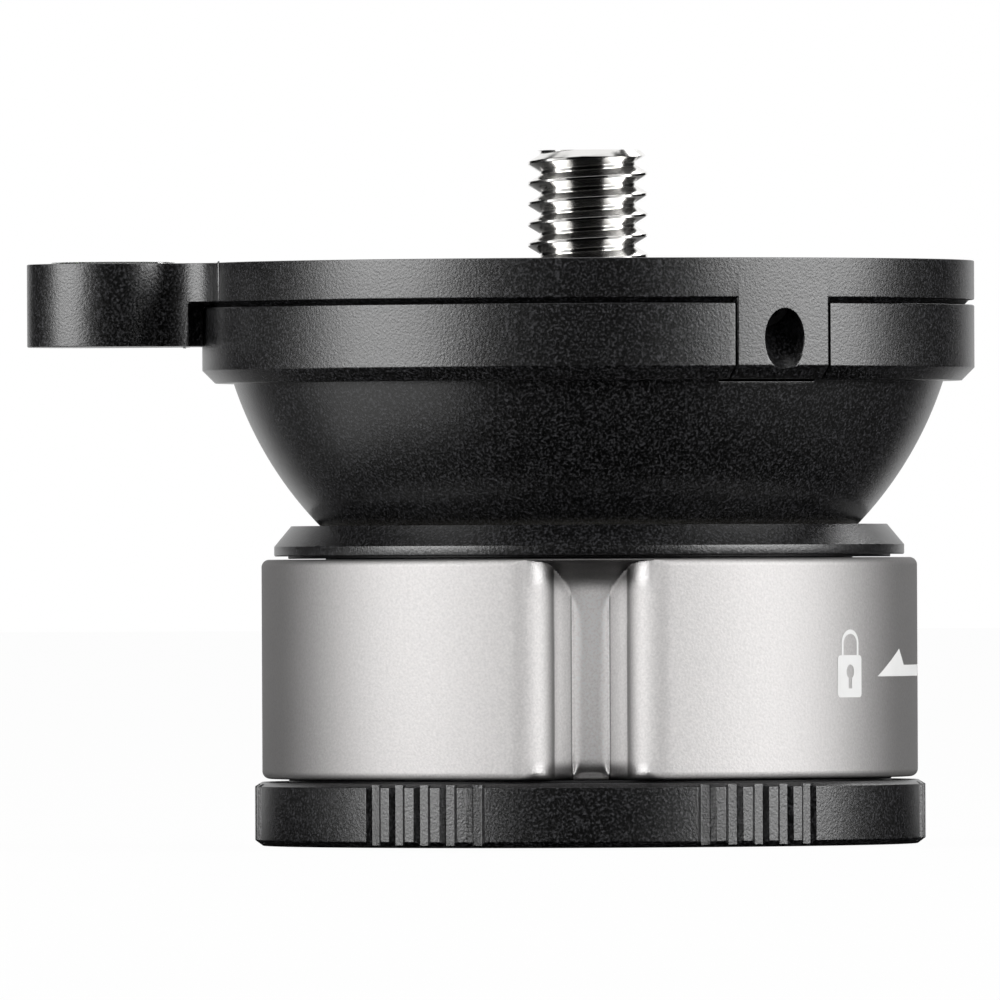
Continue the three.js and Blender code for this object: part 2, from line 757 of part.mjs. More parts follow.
// A right-hand thread as one closed helical skin over a core, from bottom to top
function threadedRod(bottom, top) {
  const sides = threadSides;
  const flank = (studPitch * (1 - crestShare - rootShare)) / 2;
  const levels = [
    [0, studRadius],
    [studPitch * crestShare, studRadius],
    [studPitch * crestShare + flank, studRootRadius],
    [studPitch * (crestShare + rootShare) + flank, studRootRadius],
  ];
  const turns = Math.ceil((top - bottom) / studPitch) + 2;
  const rows = turns * levels.length;
  const positions = [];
  for (let row = 0; row <= rows; row++) {
    const [rise, radius] = levels[row % levels.length];
    const level = bottom - 1.5 * studPitch + Math.floor(row / levels.length) * studPitch + rise;
    for (let i = 0; i < sides; i++) {
      const turn = (2 * Math.PI * i) / sides;
      positions.push(radius * Math.cos(turn), radius * Math.sin(turn), level + (studPitch * i) / sides);
    }
  }
  const index = [];
  const at = (row, i) => row * sides + i;
  for (let row = 0; row < rows; row++) {
    for (let i = 0; i < sides - 1; i++) {
      index.push(at(row, i), at(row, i + 1), at(row + 1, i + 1), at(row, i), at(row + 1, i + 1), at(row + 1, i));
    }
  }
  // the last side joins a row to the row one pitch higher
  const lift = levels.length;
  for (let row = 0; row < rows - lift; row++) {
    index.push(at(row, sides - 1), at(row + lift, 0), at(row + lift + 1, 0));
    index.push(at(row, sides - 1), at(row + lift + 1, 0), at(row + 1, sides - 1));
  }
  const low = positions.length / 3;
  positions.push(0, 0, bottom - 3 * studPitch);
  const high = low + 1;
  positions.push(0, 0, top + 3 * studPitch);
  // end caps: fans over the open rims
  for (let i = 0; i < sides - 1; i++) index.push(low, at(0, i + 1), at(0, i));
  for (let row = 0; row < lift; row++) index.push(low, at(row, 0), at(row + 1, 0));
  index.push(low, at(lift, 0), at(0, sides - 1));
  for (let i = 0; i < sides - 1; i++) index.push(high, at(rows, i), at(rows, i + 1));
  for (let row = rows - lift; row < rows; row++) index.push(high, at(row + 1, sides - 1), at(row, sides - 1));
  index.push(high, at(rows - lift, sides - 1), at(rows, 0));
  const geometry = new THREE.BufferGeometry();
  geometry.setAttribute('position', new THREE.Float32BufferAttribute(positions, 3));
  geometry.setIndex(index);
  return geometry;
}

function cameraStud() {
  const top = plateTop + studHeight;
  const bottom = plateTop - studTail;
  const envelope = solid(turned([
    [0, plateTop - studPitch],
    [studRadius + overrun, plateTop - studPitch],
    [studRadius + overrun, top - studChamfer - overrun],
    [studRadius - studChamfer, top],
    [0, top],
  ], threadSides));
  const shank = solid(turned([
    [0, bottom],
    [studRadius - fitGap - studChamfer, bottom],
    [studRadius - fitGap, bottom + studChamfer],
    [studRadius - fitGap, plateTop - studPitch / 2],
    [0, plateTop - studPitch / 2],
  ], threadSides));
  const socket = solid(upright(hexagon(studSocketWidth), top - studSocketDepth, top + overrun));
  return solid(threadedRod(plateTop, top)).intersect(envelope).add(shank).subtract(socket);
}

function studNut() {
  const top = rimTop - fitGap;
  const nut = solid(upright(hexagon(studNutWidth), top - studNutHeight, top));
  return nut.subtract(solid(disc(studRadius + fitGap, top - studNutHeight - overrun, top + overrun)));
}

function carriage() {
  let plate = solid(disc(cavityRadius - carriageSlide, carriageBottom, carriageTop, innerSides));
  plate = plate.subtract(solid(turned([
    [0, carriageBottom - overrun],
    [rodHeadRadius + fitGap, carriageBottom - overrun],
    [rodHeadRadius + fitGap, carriageBottom + rodHeadHeight + 2 * fitGap],
    [rodRadius + fitGap, carriageBottom + rodHeadHeight + 2 * fitGap],
    [rodRadius + fitGap, carriageTop + overrun],
    [0, carriageTop + overrun],
  ], partSides)));
  const pinHole = lying(disc(pinRadius + fitGap, pinInnerReach - fitGap, cavityRadius + overrun, screwSides));
  for (const turn of thirds) plate = plate.subtract(solid(aroundAxis(pinHole, turn)));
  return plate;
}

// A shape made along Z laid along +X at the pins' height
function lying(shape) {
  return shape.rotateY(Math.PI / 2).translate(0, 0, pinZ);
}

function camPin(turn) {
  return lying(disc(pinRadius, pinInnerReach, ringBore + pinBite, screwSides)).rotateZ(radians(turn));
}

function clampRod() {
  const bottom = carriageBottom + fitGap;
  const rod = solid(turned([
    [0, bottom],
    [rodHeadRadius, bottom],
    [rodHeadRadius, bottom + rodHeadHeight],
    [rodRadius, bottom + rodHeadHeight],
    [rodRadius, rodTop],
    [0, rodTop],
  ], partSides));
  return rod.subtract(solid(upright(hexagon(2 * rodSocket), bottom - overrun, bottom + rodHeadHeight / 2)));
}

function slideWasher() {
  return turned([
    ...dish(slideOuter, slideHoleAngle, slideRimAngle, innerDishSteps),
    ...dish(slideInner, slideRimAngle, slideHoleAngle, innerDishSteps),
  ], innerSides);
}

function clampDome() {
  const bore = rodRadius + fitGap;
  const rimRadius = domeRadius * Math.sin(radians(domeRimAngle));
  return turned([
    ...dish(domeRadius, dishAngle(domeRadius, bore), domeRimAngle, innerDishSteps),
    [rimRadius, domeRimBottom + domeRimHeight],
    [Math.min(domeTopRadius, rimRadius), domeTop],
    [bore, domeTop],
  ], innerSides);
}

function discSpring() {
  const bore = rodRadius + fitGap;
  const bottom = domeTop + fitGap;
  const leaf = discSpringHeight / 2;
  return turned([
    [bore, bottom + leaf],
    [discSpringRadius, bottom],
    [discSpringRadius, bottom + leaf],
    [bore, bottom + discSpringHeight],
  ], partSides);
}

function clampNut() {
  const top = clampNutBottom + clampNutHeight;
  const nut = solid(upright(hexagon(clampNutWidth), clampNutBottom, top));
  return nut.subtract(solid(disc(rodRadius + fitGap, clampNutBottom - overrun, top + overrun)));
}

class Helix extends THREE.Curve {
  constructor(radius, bottom, rise, turns) {
    super();
    Object.assign(this, { radius, bottom, rise, turns });
  }

  getPoint(t, target = new THREE.Vector3()) {
    const turn = 2 * Math.PI * this.turns * t;
    return target.set(this.radius * Math.cos(turn), this.radius * Math.sin(turn), this.bottom + this.rise * t);
  }
}

function releaseSpring() {
  const bottom = baseFloor + springWire + fitGap;
  const rise = carriageBottom - fitGap - springWire - bottom;
  const path = new Helix(springRadius, bottom, rise, springTurns);
  const section = new THREE.Shape(polygon(springWire, 6).map(([x, y]) => new THREE.Vector2(x, y)));
  return new THREE.ExtrudeGeometry(section, { steps: 50, bevelEnabled: false, extrudePath: path });
}

function levelCup() {
  const bottom = plateTop - levelDepth + fitGap;
  const top = plateTop + levelProud - levelLens;
  const inner = levelRadius - levelWall;
  return turned([
    [0, bottom],
    [levelRadius, bottom],
    [levelRadius, top],
    [inner, top],
    [inner, bottom + levelFloor],
    [0, bottom + levelFloor],
  ], partSides).translate(tabCentre(), 0, 0);
}

function levelFluid() {
  const bottom = plateTop - levelDepth + 2 * fitGap + levelFloor;
  const top = plateTop + levelProud - levelLens - fitGap / 2;
  const inner = levelRadius - levelWall - fitGap / 2;
  return turned([
    [0, bottom],
    [inner, bottom],
    [inner, top],
    [bubbleRadius, top],
    [bubbleRadius * bubbleFloorShare, top - bubbleHeight],
    [0, top - bubbleHeight],
  ], partSides).translate(tabCentre(), 0, 0);
}

function levelBubble() {
  const top = plateTop + levelProud - levelLens - fitGap / 2;
  return turned([
    [0, top - bubbleHeight + fitGap],
    [bubbleRadius * bubbleFloorShare - fitGap, top - bubbleHeight + fitGap],
    [bubbleRadius - 2 * fitGap, top],
    [0, top],
  ], partSides).translate(tabCentre(), 0, 0);
}

function levelLensDisc() {
  const bottom = plateTop + levelProud - levelLens;
  return turned([
    [0, bottom],
    [levelRadius, bottom],
    [levelRadius, bottom + levelLens * (1 - lensEdgeShare)],
    [levelRadius - levelLens * lensEdgeShare, bottom + levelLens],
    [0, bottom + levelLens],
  ], partSides).translate(tabCentre(), 0, 0);
}

function grubScrew(turn) {
  const end = grubEnd() - grubTipLength;
  const body = solid(disc(grubRadius, end - grubLength, end - fitGap, screwSides));
  const socket = upright(hexagon(2 * grubSocket), end - grubLength - overrun, end - grubLength / 2);
  return alongGrub(surface(body.subtract(solid(socket))), 0, turn);
}

function grubTip(turn) {
  const end = grubEnd();
  return alongGrub(disc(grubTipRadius, end - grubTipLength, end, screwSides), 0, turn);
}

add('base_body', baseBody(), finishes.blackAnodised);
add('tripod_bush', tripodBush(), finishes.steel);
add('bowl_seat', bowlSeat(), finishes.blackAnodised);
thirds.forEach((turn, i) => add(`seat_screw_${i + 1}`, seatScrew(turn + seatScrewOffsetAngle), finishes.blackSteel));
add('lower_slip_washer', slipWasher(ringBottom - washerThickness + fitGap / 2), finishes.blackAcetal);
add('upper_slip_washer', slipWasher(ringTop + fitGap / 2), finishes.blackAcetal);
add('release_spring', releaseSpring(), finishes.springSteel);
add('lock_ring', lockRing(), finishes.silverAnodised);
add('carriage', carriage(), finishes.steel);
thirds.forEach((turn, i) => add(`cam_pin_${i + 1}`, camPin(turn), finishes.bronze));
add('clamp_rod', clampRod(), finishes.blackSteel);
add('clamp_dome', clampDome(), finishes.steel);
add('disc_spring', discSpring(), finishes.springSteel);
add('clamp_nut', clampNut(), finishes.steel);
add('seat_liner', seatLiner(), finishes.slipPlastic);
add('slide_washer', slideWasher(), finishes.slipPlastic);
add('bowl', bowl(), finishes.blackAnodised);
add('top_plate', topPlate(), finishes.blackAnodised);
add('camera_stud', cameraStud(), finishes.steel);
add('stud_nut', studNut(), finishes.blackSteel);
thirds.forEach((turn, i) => add(`plate_screw_${i + 1}`, plateScrew(turn), finishes.blackSteel));
add('level_cup', levelCup(), finishes.levelHousing);
add('level_fluid', levelFluid(), finishes.levelFluid);
add('level_bubble', levelBubble(), finishes.levelLens);
add('level_lens', levelLensDisc(), finishes.levelLens);
[bossAngle, -bossAngle].forEach((turn, i) => {
  add(`grub_screw_${i + 1}`, grubScrew(turn), finishes.blackSteel);
  add(`grub_tip_${i + 1}`, grubTip(turn), finishes.nylon);
});

export default head;
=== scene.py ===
import math

import bpy
from mathutils import Matrix, Vector


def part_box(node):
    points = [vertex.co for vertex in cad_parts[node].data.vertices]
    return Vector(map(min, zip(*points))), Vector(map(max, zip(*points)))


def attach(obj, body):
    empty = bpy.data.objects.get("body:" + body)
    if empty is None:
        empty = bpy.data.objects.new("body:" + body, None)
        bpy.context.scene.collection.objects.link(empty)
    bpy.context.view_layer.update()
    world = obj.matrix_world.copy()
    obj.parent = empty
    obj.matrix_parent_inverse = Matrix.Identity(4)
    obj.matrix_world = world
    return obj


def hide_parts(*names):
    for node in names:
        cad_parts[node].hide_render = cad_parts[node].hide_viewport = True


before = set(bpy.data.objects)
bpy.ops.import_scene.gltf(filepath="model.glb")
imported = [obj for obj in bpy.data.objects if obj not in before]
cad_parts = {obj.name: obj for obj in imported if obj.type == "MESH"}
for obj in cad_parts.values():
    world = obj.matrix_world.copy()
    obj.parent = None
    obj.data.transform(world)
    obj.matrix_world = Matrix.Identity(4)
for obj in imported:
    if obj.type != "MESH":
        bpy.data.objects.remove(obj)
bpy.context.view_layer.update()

bpy.ops.object.select_all(action="DESELECT")

# The picture's set
# A long lens looks along +Y at the head's side, a little under its plate. The head stands on a white
# table in front of a white wall, between two tall softboxes and in front of black flags.
MM = 0.001
camera_distance = 1900
camera_height = 22
picture_centre = (-6.913, 0, 26.77)
picture_width = 77.7
sensor_width = 36
camera_roll = -0.25
near_clip = 0.1
far_clip = 20


def at_azimuth(azimuth, distance, height):
    """A place in mm round the head; azimuth 0 is towards the camera and 90 towards +X."""
    turn = math.radians(azimuth)
    return Vector((distance * math.sin(turn), -distance * math.cos(turn), height)) * MM


camera_place = Vector((picture_centre[0], -camera_distance, camera_height)) * MM
bpy.ops.object.camera_add(location=camera_place)
camera = bpy.context.object
camera.name = "camera"
sight = Vector(picture_centre) * MM - camera_place
camera.rotation_euler = (
    sight.to_track_quat("-Z", "Y") @ Matrix.Rotation(math.radians(camera_roll), 3, "Z").to_quaternion()
).to_euler()
camera.data.sensor_width = sensor_width
camera.data.lens = sensor_width * camera_distance / picture_width
camera.data.clip_start = near_clip
camera.data.clip_end = far_clip
bpy.context.scene.camera = camera
bpy.context.scene.view_settings.view_transform = "Standard"


class Socket:
    """A shader socket. Arithmetic on it adds Math nodes, and node() adds any other node."""

    def __init__(self, tree, socket=None):
        self.tree = tree
        self.socket = socket

    def node(self, kind, settings=(), inputs=(), output=0):
        made = self.tree.nodes.new(kind)
        for name, value in dict(settings).items():
            setattr(made, name, value)
        for name, value in dict(inputs).items():
            if isinstance(value, Socket):
                self.tree.links.new(value.socket, made.inputs[name])
            else:
                made.inputs[name].default_value = value
        return Socket(self.tree, made.outputs[output])

    def feed(self, shader, name):
        """Links this socket to a shader's input."""
        self.tree.links.new(self.socket, shader.inputs[name])

    def math(self, operation, *values):
        return self.node("ShaderNodeMath", {"operation": operation}, enumerate(values))

    def __add__(self, other):
        return self.math("ADD", self, other)

    def __sub__(self, other):
        return self.math("SUBTRACT", self, other)

    def __rsub__(self, other):
        return self.math("SUBTRACT", other, self)

    def __mul__(self, other):
        return self.math("MULTIPLY", self, other)

    __radd__ = __add__
    __rmul__ = __mul__


def seen_white(start):
    """1 for what the camera sees straight, mirrored or through glass, else 0."""
    seen = start.node("ShaderNodeLightPath", output="Is Camera Ray")
    mirrored = Socket(start.tree, seen.socket.node.outputs["Is Glossy Ray"])
    through = Socket(start.tree, seen.socket.node.outputs["Is Transmission Ray"])
    return seen.math("MAXIMUM", seen, seen.math("MAXIMUM", mirrored, through))


# World: white to the camera and in reflections, a plain grey for diffuse light
room_level = 0.42
world = bpy.data.worlds.new("studio")
bpy.context.scene.world = world
world.use_nodes = True
backdrop = world.node_tree.nodes["Background"]
backdrop.inputs["Color"].default_value = (1, 1, 1, 1)
brightness = room_level + (1 - room_level) * seen_white(Socket(world.node_tree))
brightness.feed(backdrop, "Strength")


def fresh_material(name):
    """A new material, its Principled shader and a Socket to start its nodes from."""
    material = bpy.data.materials.new(name)
    material.use_nodes = True
    return material, material.node_tree.nodes["Principled BSDF"], Socket(material.node_tree)


# White table: it shows white like the wall, and keeps a share of diffuse light for the shadow
table_size = 12
table_drop = 0.2
shadow_share = 0.03
bpy.ops.mesh.primitive_plane_add(size=table_size, location=(0, 0, -table_drop * MM))
table = bpy.context.object
table.name = "table"
table_white, _, paint = fresh_material("table_white")
glow = paint.node("ShaderNodeEmission", (), {"Color": (1, 1, 1, 1), "Strength": 1})
matt = paint.node("ShaderNodeBsdfDiffuse", (), {"Color": (0.8, 0.8, 0.8, 1)})
glow_share = (1 - shadow_share) * seen_white(paint)
mixed = paint.node("ShaderNodeMixShader", (), {0: glow_share, 1: matt, 2: glow})
mixed.feed(paint.tree.nodes["Material Output"], "Surface")
table.data.materials.append(table_white)


# Cards that only reflections see: a black tent wall, open at the back where the white wall shows, and
# black, grey and lit ones on the table and overhead
tent_radius = 2600
tent_height = 3000
tent_open_from = 152.5
tent_open_to = 210
floor_dark_radius = 58
roof_light_radius = 1500
light_height = 1500
on_table = -table_drop / 2


def card(name, start, end, near, far, radiance, steps=24):
    """A sheet between two azimuths, from one [radius, height] to another, that only reflections see."""
    bpy.ops.mesh.primitive_grid_add(x_subdivisions=steps, y_subdivisions=1, size=1)
    sheet = bpy.context.object
    sheet.name = name
    for corner in sheet.data.vertices:
        radius, height = near if corner.co.y < 0 else far
        corner.co = at_azimuth(start + (end - start) * (corner.co.x + 0.5), radius, height)
    paper, _, ink = fresh_material(name)
    shine = ink.node("ShaderNodeEmission", (), {"Color": (1, 1, 1, 1), "Strength": radiance})
    shine.feed(ink.tree.nodes["Material Output"], "Surface")
    sheet.data.materials.append(paper)
    for rays in ("camera", "diffuse", "transmission", "shadow"):
        setattr(sheet, f"visible_{rays}", False)
    return sheet


dark_edge = (floor_dark_radius, on_table)
wall_foot = (tent_radius, on_table)
wall_top = (tent_radius, tent_height)
roof_edge = (roof_light_radius, tent_height)
light_near = (roof_light_radius, light_height)
light_far = (tent_radius - 20, light_height)
tent = card("tent", tent_open_to - 360, tent_open_from, wall_foot, wall_top, 0, 121)
for name, first, last, near, far, radiance in (
    ("floor_front", -38, 38, dark_edge, wall_foot, 0),
    ("floor_left", -92, -38, dark_edge, wall_foot, 0.7),
    ("floor_right", 38, 92, dark_edge, wall_foot, 0.08),
    ("floor_left_back", -142, -92, dark_edge, wall_foot, 0.08),
    ("floor_right_back", 92, 146, dark_edge, wall_foot, 0.03),
    ("floor_middle", 0, 360, (0, on_table), dark_edge, 0),
    ("roof_front", -138, 138, roof_edge, wall_top, 0),
    ("roof_light", 137, 151, light_near, light_far, 6),
):
    card(name, first, last, near, far, radiance)

aim_height = 25


def softbox(name, azimuth, distance, height, width, tall, radiance):
    """An area lamp in mm that faces the head's middle and isn't seen by the camera."""
    bpy.ops.object.light_add(type="AREA", location=at_azimuth(azimuth, distance, height))
    lamp = bpy.context.object
    lamp.name = name
    lamp.rotation_euler = (at_azimuth(0, 0, aim_height) - lamp.location).to_track_quat("-Z", "Y").to_euler()
    lamp.data.shape = "RECTANGLE"
    lamp.data.size = width * MM
    lamp.data.size_y = tall * MM
    lamp.data.energy = radiance * math.pi * width * tall * MM * MM
    lamp.visible_camera = False


softbox("left_softbox", -62.5, 1250, 120, 940, 1250, 6.2)
softbox("right_softbox", 66, 1250, 120, 1200, 1250, 6.1)

# Base body
# Turned from black anodised aluminium: a disc with thirty milled grip grooves in six groups of five,
# a sleeve that the lock ring turns on, and a boss that holds the tripod bush.


def cad_corners(node):
    """The lowest and the highest corner of a CAD node in mm, to the micrometre."""
    return [[round(value / MM, 3) for value in corner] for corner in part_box(node)]


_, (_, base_radius, spigot_bottom) = cad_corners("base_body")
(_, _, washer_bottom), (_, washer_outer, washer_top) = cad_corners("lower_slip_washer")
# Slack is the room that a hole or groove has round its piece, and past is how far a cutter runs out
slack = 0.1
past = 1
base_height = 4.95
base_floor = 3.9
base_bottom_chamfer = (0.6, 0.45)
base_top_chamfer = (0.54, 0.33)
washer_inner = 22.096
washer_show = 0.24
washer_groove = washer_top - washer_bottom + slack
sleeve_radius = 20.466
cavity_radius = 16.566
boss_radius = 8.4
boss_top = 8.509
bush_hole_radius = 6.5
bush_flange_hole_radius = 7.8
bush_flange_depth = 1.4
bush_hole_depth = 7.409
grip_groups = 6
grips_per_group = 5
grip_pitch = 5.04
grip_half_width = 0.75
grip_floor_half = 0.36
grip_depth = 0.33
grip_floor_round = 0.12
grip_reach = 1.1
fine_round = 0.09
round_steps = 3
weld = 0.002
front = -90


def only(obj):
    """Selects one object alone and makes it the active one."""
    bpy.ops.object.select_all(action="DESELECT")
    obj.select_set(True)
    bpy.context.view_layer.objects.active = obj


def inside_out(mesh):
    """Whether a closed mesh's faces point inwards, told by the sign of its volume."""
    mesh.calc_loop_triangles()
    volume = 0
    for triangle in mesh.loop_triangles:
        a, b, c = (mesh.vertices[corner].co for corner in triangle.vertices)
        volume += a.dot(b.cross(c))
    return volume < 0


def opened(obj):
    """Takes an object alone into edit mode, with all of its mesh selected."""
    only(obj)
    bpy.ops.object.mode_set(mode="EDIT")
    bpy.ops.mesh.select_all(action="SELECT")


def closed():
    """Leaves edit mode."""
    bpy.ops.object.mode_set(mode="OBJECT")


def tidied(obj):
    """Merges doubles, drops loose edges and turns the faces outwards."""
    opened(obj)
    bpy.ops.mesh.remove_doubles(threshold=weld * MM)
    bpy.ops.mesh.delete_loose()
    bpy.ops.mesh.select_all(action="SELECT")
    bpy.ops.mesh.normals_make_consistent(inside=False)
    closed()
    if inside_out(obj.data):
        opened(obj)
        bpy.ops.mesh.flip_normals()
        closed()
    return obj


def rounded(corners):
    """The points of an outline whose [across, up, round] corners are rounded by arcs."""
    points = []
    for i, (across, up, radius) in enumerate(corners):
        here = Vector((across, up))
        if not radius:
            points.append((across, up))
            continue
        before = (Vector(corners[i - 1][:2]) - here).normalized()
        after = (Vector(corners[(i + 1) % len(corners)][:2]) - here).normalized()
        half = before.angle(after) / 2
        centre = here + (before + after).normalized() * radius / math.sin(half)
        start = here + before * radius / math.tan(half) - centre
        turn = math.copysign(math.pi - 2 * half, before.cross(after))
        for step in range(round_steps + 1):
            bend = Matrix.Rotation(-turn * step / round_steps, 2)
            points.append(tuple(centre + bend @ start))
    return points


def wrapped(name, columns, rows, place):
    """A grid wrapped round the Z axis: place(column, row) gives each corner's turn, radius and height."""
    across, up = len(columns) - 1, len(rows) - 1
    bpy.ops.mesh.primitive_grid_add(x_subdivisions=across, y_subdivisions=up, size=1)
    obj = bpy.context.object
    obj.name = obj.data.name = name
    for vertex in obj.data.vertices:
        column = columns[round((vertex.co.x + 0.5) * across)]
        row = rows[round((vertex.co.y + 0.5) * up)]
        turn, radius, height = place(column, row)
        vertex.co = (radius * math.cos(turn) * MM, radius * math.sin(turn) * MM, height * MM)
    return tidied(obj)


def profile(name, corners):
    """A closed loop of edges through corners in mm, open in edit mode."""
    bpy.ops.mesh.primitive_circle_add(vertices=len(corners), radius=MM)
    obj = bpy.context.object
    obj.name = obj.data.name = name
    for vertex, corner in zip(obj.data.vertices, corners):
        vertex.co = [value * MM for value in corner]
    opened(obj)
    return obj


def upright(name, outline, bottom, top):
    """A flat outline of [x, y] corners drawn up from bottom to top, all in mm."""
    obj = profile(name, [(x, y, bottom) for x, y in outline])
    bpy.ops.mesh.edge_face_add()
    bpy.ops.mesh.extrude_region_move(TRANSFORM_OT_translate={"value": (0, 0, (top - bottom) * MM)})
    closed()
    return tidied(obj)


def turned(name, outline, steps=240):
    """A closed outline of [radius, height] corners in mm, spun about the Z axis."""
    obj = profile(name, [(radius, 0, height) for radius, height in outline])
    bpy.ops.mesh.spin(steps=steps, angle=2 * math.pi, center=(0, 0, 0), axis=(0, 0, 1))
    closed()
    return tidied(obj)


def oblong(near, far, half):
    """The [x, y] corners of a rectangle that runs along X, half being half its width."""
    return [(near, -half), (far, -half), (far, half), (near, half)]


def moved(obj, location=(0, 0, 0), turn=0, tilt=0):
    """Moves an object's mesh: first a tilt about Y, then a shift in mm, then a turn about Z."""
    only(obj)
    obj.rotation_euler = (0, math.radians(tilt), 0)
    bpy.ops.object.transform_apply(location=False, rotation=True, scale=False)
    obj.location = Vector(location) * MM
    bpy.ops.object.transform_apply(location=True, rotation=False, scale=False)
    obj.rotation_euler = (0, 0, math.radians(turn))
    bpy.ops.object.transform_apply(location=False, rotation=True, scale=False)
    return obj


def combined(obj, other, operation):
    """Applies a Boolean with another object, which is used up."""
    only(obj)
    modifier = obj.modifiers.new("combine", "BOOLEAN")
    modifier.operation = operation
    modifier.solver = "EXACT"
    modifier.object = other
    bpy.ops.object.modifier_apply(modifier=modifier.name)
    bpy.data.objects.remove(other)
    opened(obj)
    bpy.ops.mesh.remove_doubles(threshold=weld / 2 * MM)
    closed()


def cut(obj, *cutters):
    """Cuts away other objects, which are used up."""
    for cutter in cutters:
        combined(obj, cutter, "DIFFERENCE")
    return obj


def softened(obj, width, limit=32):
    """Rounds the edges that turn by more than the limit, where a width is given, and smooths the rest."""
    only(obj)
    if width:
        modifier = obj.modifiers.new("edges", "BEVEL")
        modifier.limit_method = "ANGLE"
        modifier.angle_limit = math.radians(limit)
        modifier.width = width * MM
        modifier.segments = 2
        modifier.use_clamp_overlap = False
        bpy.ops.object.modifier_apply(modifier=modifier.name)
    bpy.ops.object.shade_smooth_by_angle(angle=math.radians(limit))
    modifier = obj.modifiers.new("normals", "WEIGHTED_NORMAL")
    modifier.keep_sharp = True
    bpy.ops.object.modifier_apply(modifier=modifier.name)
    return obj


def finished(obj, material, slot, body, *nodes):
    """Gives a piece its material and its place in the frame."""
    obj.data.materials.clear()
    obj.data.materials.append(material)
    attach(obj, body)
    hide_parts(*nodes)


def noise(place, scale, detail):
    """A cloudy pattern from 0 to 1; scale is its grains in a metre."""
    return place.node("ShaderNodeTexNoise", (), {"Vector": place, "Scale": scale, "Detail": detail}, "Fac")


def between(value, low, high, first=0, last=1):
    """Goes smoothly from first to last as a value goes from low to high."""
    return value.node(
        "ShaderNodeMapRange", {"interpolation_type": "SMOOTHSTEP"},
        {"Value": value, "From Min": low, "From Max": high, "To Min": first, "To Max": last})


def tinted(colour, tone):
    """A colour, or a colour socket, times a grey tone."""
    return tone.node(
        "ShaderNodeMix", {"data_type": "RGBA", "blend_type": "MULTIPLY"}, {0: 1.0, 6: colour, 7: tone}, 2)


def bumped(height, strength, depth):
    """A normal roughened by a pattern that is depth mm deep."""
    return height.node(
        "ShaderNodeBump", (), {"Strength": strength, "Distance": depth * MM, "Height": height}, "Normal")


def blasted(name, colour, metallic, roughness, grain, speckle, specular=0.5, slant_shade=1.0):
    """Anodised aluminium over a fine glass-bead blasting. Its colour can be darkened towards a slanting
    view by the last factor: painted shade on the sides that turn away.
    """
    material, shader, start = fresh_material(name)
    place = start.node("ShaderNodeTexCoord", output="Object")
    beads = noise(place, 5200.0, 2.0)
    clouds = noise(place, 90.0, 2.0)
    tone = start.math("MAXIMUM", 0.1, 1 + speckle * (beads - 0.5) + 0.12 * (clouds - 0.5))
    facing = start.node("ShaderNodeLayerWeight", (), {"Blend": 0.5}, "Facing")
    # The colour falls by the last factor towards a slanting view: painted shade on the turned-away sides.
    tinted((*colour, 1), tone * between(facing, 0.1, 0.68, 1, slant_shade)).feed(shader, "Base Color")
    (roughness + 0.12 * (beads - 0.5) + 0.06 * (clouds - 0.5)).feed(shader, "Roughness")
    bumped(beads, 1.0, grain).feed(shader, "Normal")
    shader.inputs["Metallic"].default_value = metallic
    shader.inputs["Specular IOR Level"].default_value = specular
    return material


black_anodised = blasted(
    "black_anodised", (0.0021, 0.0021, 0.0023), metallic=0.0, roughness=0.33, grain=0.021, speckle=75.0,
    specular=1.0)

chamfer_top = base_height - base_top_chamfer[1] * (1 - grip_depth / base_top_chamfer[0])
chamfer_bottom = base_bottom_chamfer[1] * (1 - grip_depth / base_bottom_chamfer[0])
washer_seat = base_height + washer_show - washer_groove
base_envelope = rounded([
    (base_radius - base_bottom_chamfer[0], 0, fine_round),
    (base_radius - grip_depth, chamfer_bottom, 0),
    (base_radius, base_bottom_chamfer[1], fine_round),
    (base_radius, base_height - base_top_chamfer[1], fine_round),
    (base_radius - grip_depth, chamfer_top, 0),
    (base_radius - base_top_chamfer[0], base_height, fine_round),
    (washer_outer + slack, base_height, 0),
    (washer_outer + slack, washer_seat, 0),
    (washer_inner - slack, washer_seat, 0),
    (washer_inner - slack, base_height, 0),
    (sleeve_radius, base_height, 0),
    (sleeve_radius, spigot_bottom, fine_round),
    (cavity_radius, spigot_bottom, fine_round),
    (cavity_radius, base_floor, 0),
    (boss_radius, base_floor, 0),
    (boss_radius, boss_top, fine_round),
    (0, boss_top, 0),
    (0, bush_hole_depth, 0),
    (bush_hole_radius, bush_hole_depth, 0),
    (bush_hole_radius, bush_flange_depth, 0),
    (bush_flange_hole_radius, bush_flange_depth, 0),
    (bush_flange_hole_radius, 0, fine_round),
])
base_rows = base_envelope + base_envelope[:1]


def polar(across, depth, radius):
    """The turn from the front and the radius of a point given across and down from a circle."""
    return math.atan2(across, radius - depth), math.hypot(across, radius - depth)


grip_outline = rounded([
    (-grip_reach, 0, 0),
    (-grip_half_width, 0, fine_round),
    (-grip_floor_half, grip_depth, grip_floor_round),
    (grip_floor_half, grip_depth, grip_floor_round),
    (grip_half_width, 0, fine_round),
    (grip_reach, 0, 0),
])


def even_columns(start, end, steps, *section):
    """Even columns between two turns, all with one section."""
    return [(start + (end - start) * step / steps, *section) for step in range(1, steps)]


def base_columns():
    """The turns from +X round the disc and the radius there, through every groove."""
    columns = []
    group_turn = 2 * math.pi / grip_groups
    for group in range(grip_groups):
        middle = math.radians(front) + group_turn * (group + 0.5)
        first = len(columns)
        for grip in range(grips_per_group):
            here = middle + math.radians(grip_pitch) * (grip - (grips_per_group - 1) / 2)
            for across, depth in grip_outline:
                turn, radius = polar(across, depth, base_radius)
                columns.append((here + turn, radius))
        columns += even_columns(columns[-1][0], columns[first][0] + group_turn, 22, base_radius)
    first_turn, first_radius = columns[0]
    columns.append((first_turn + 2 * math.pi, first_radius))
    return columns


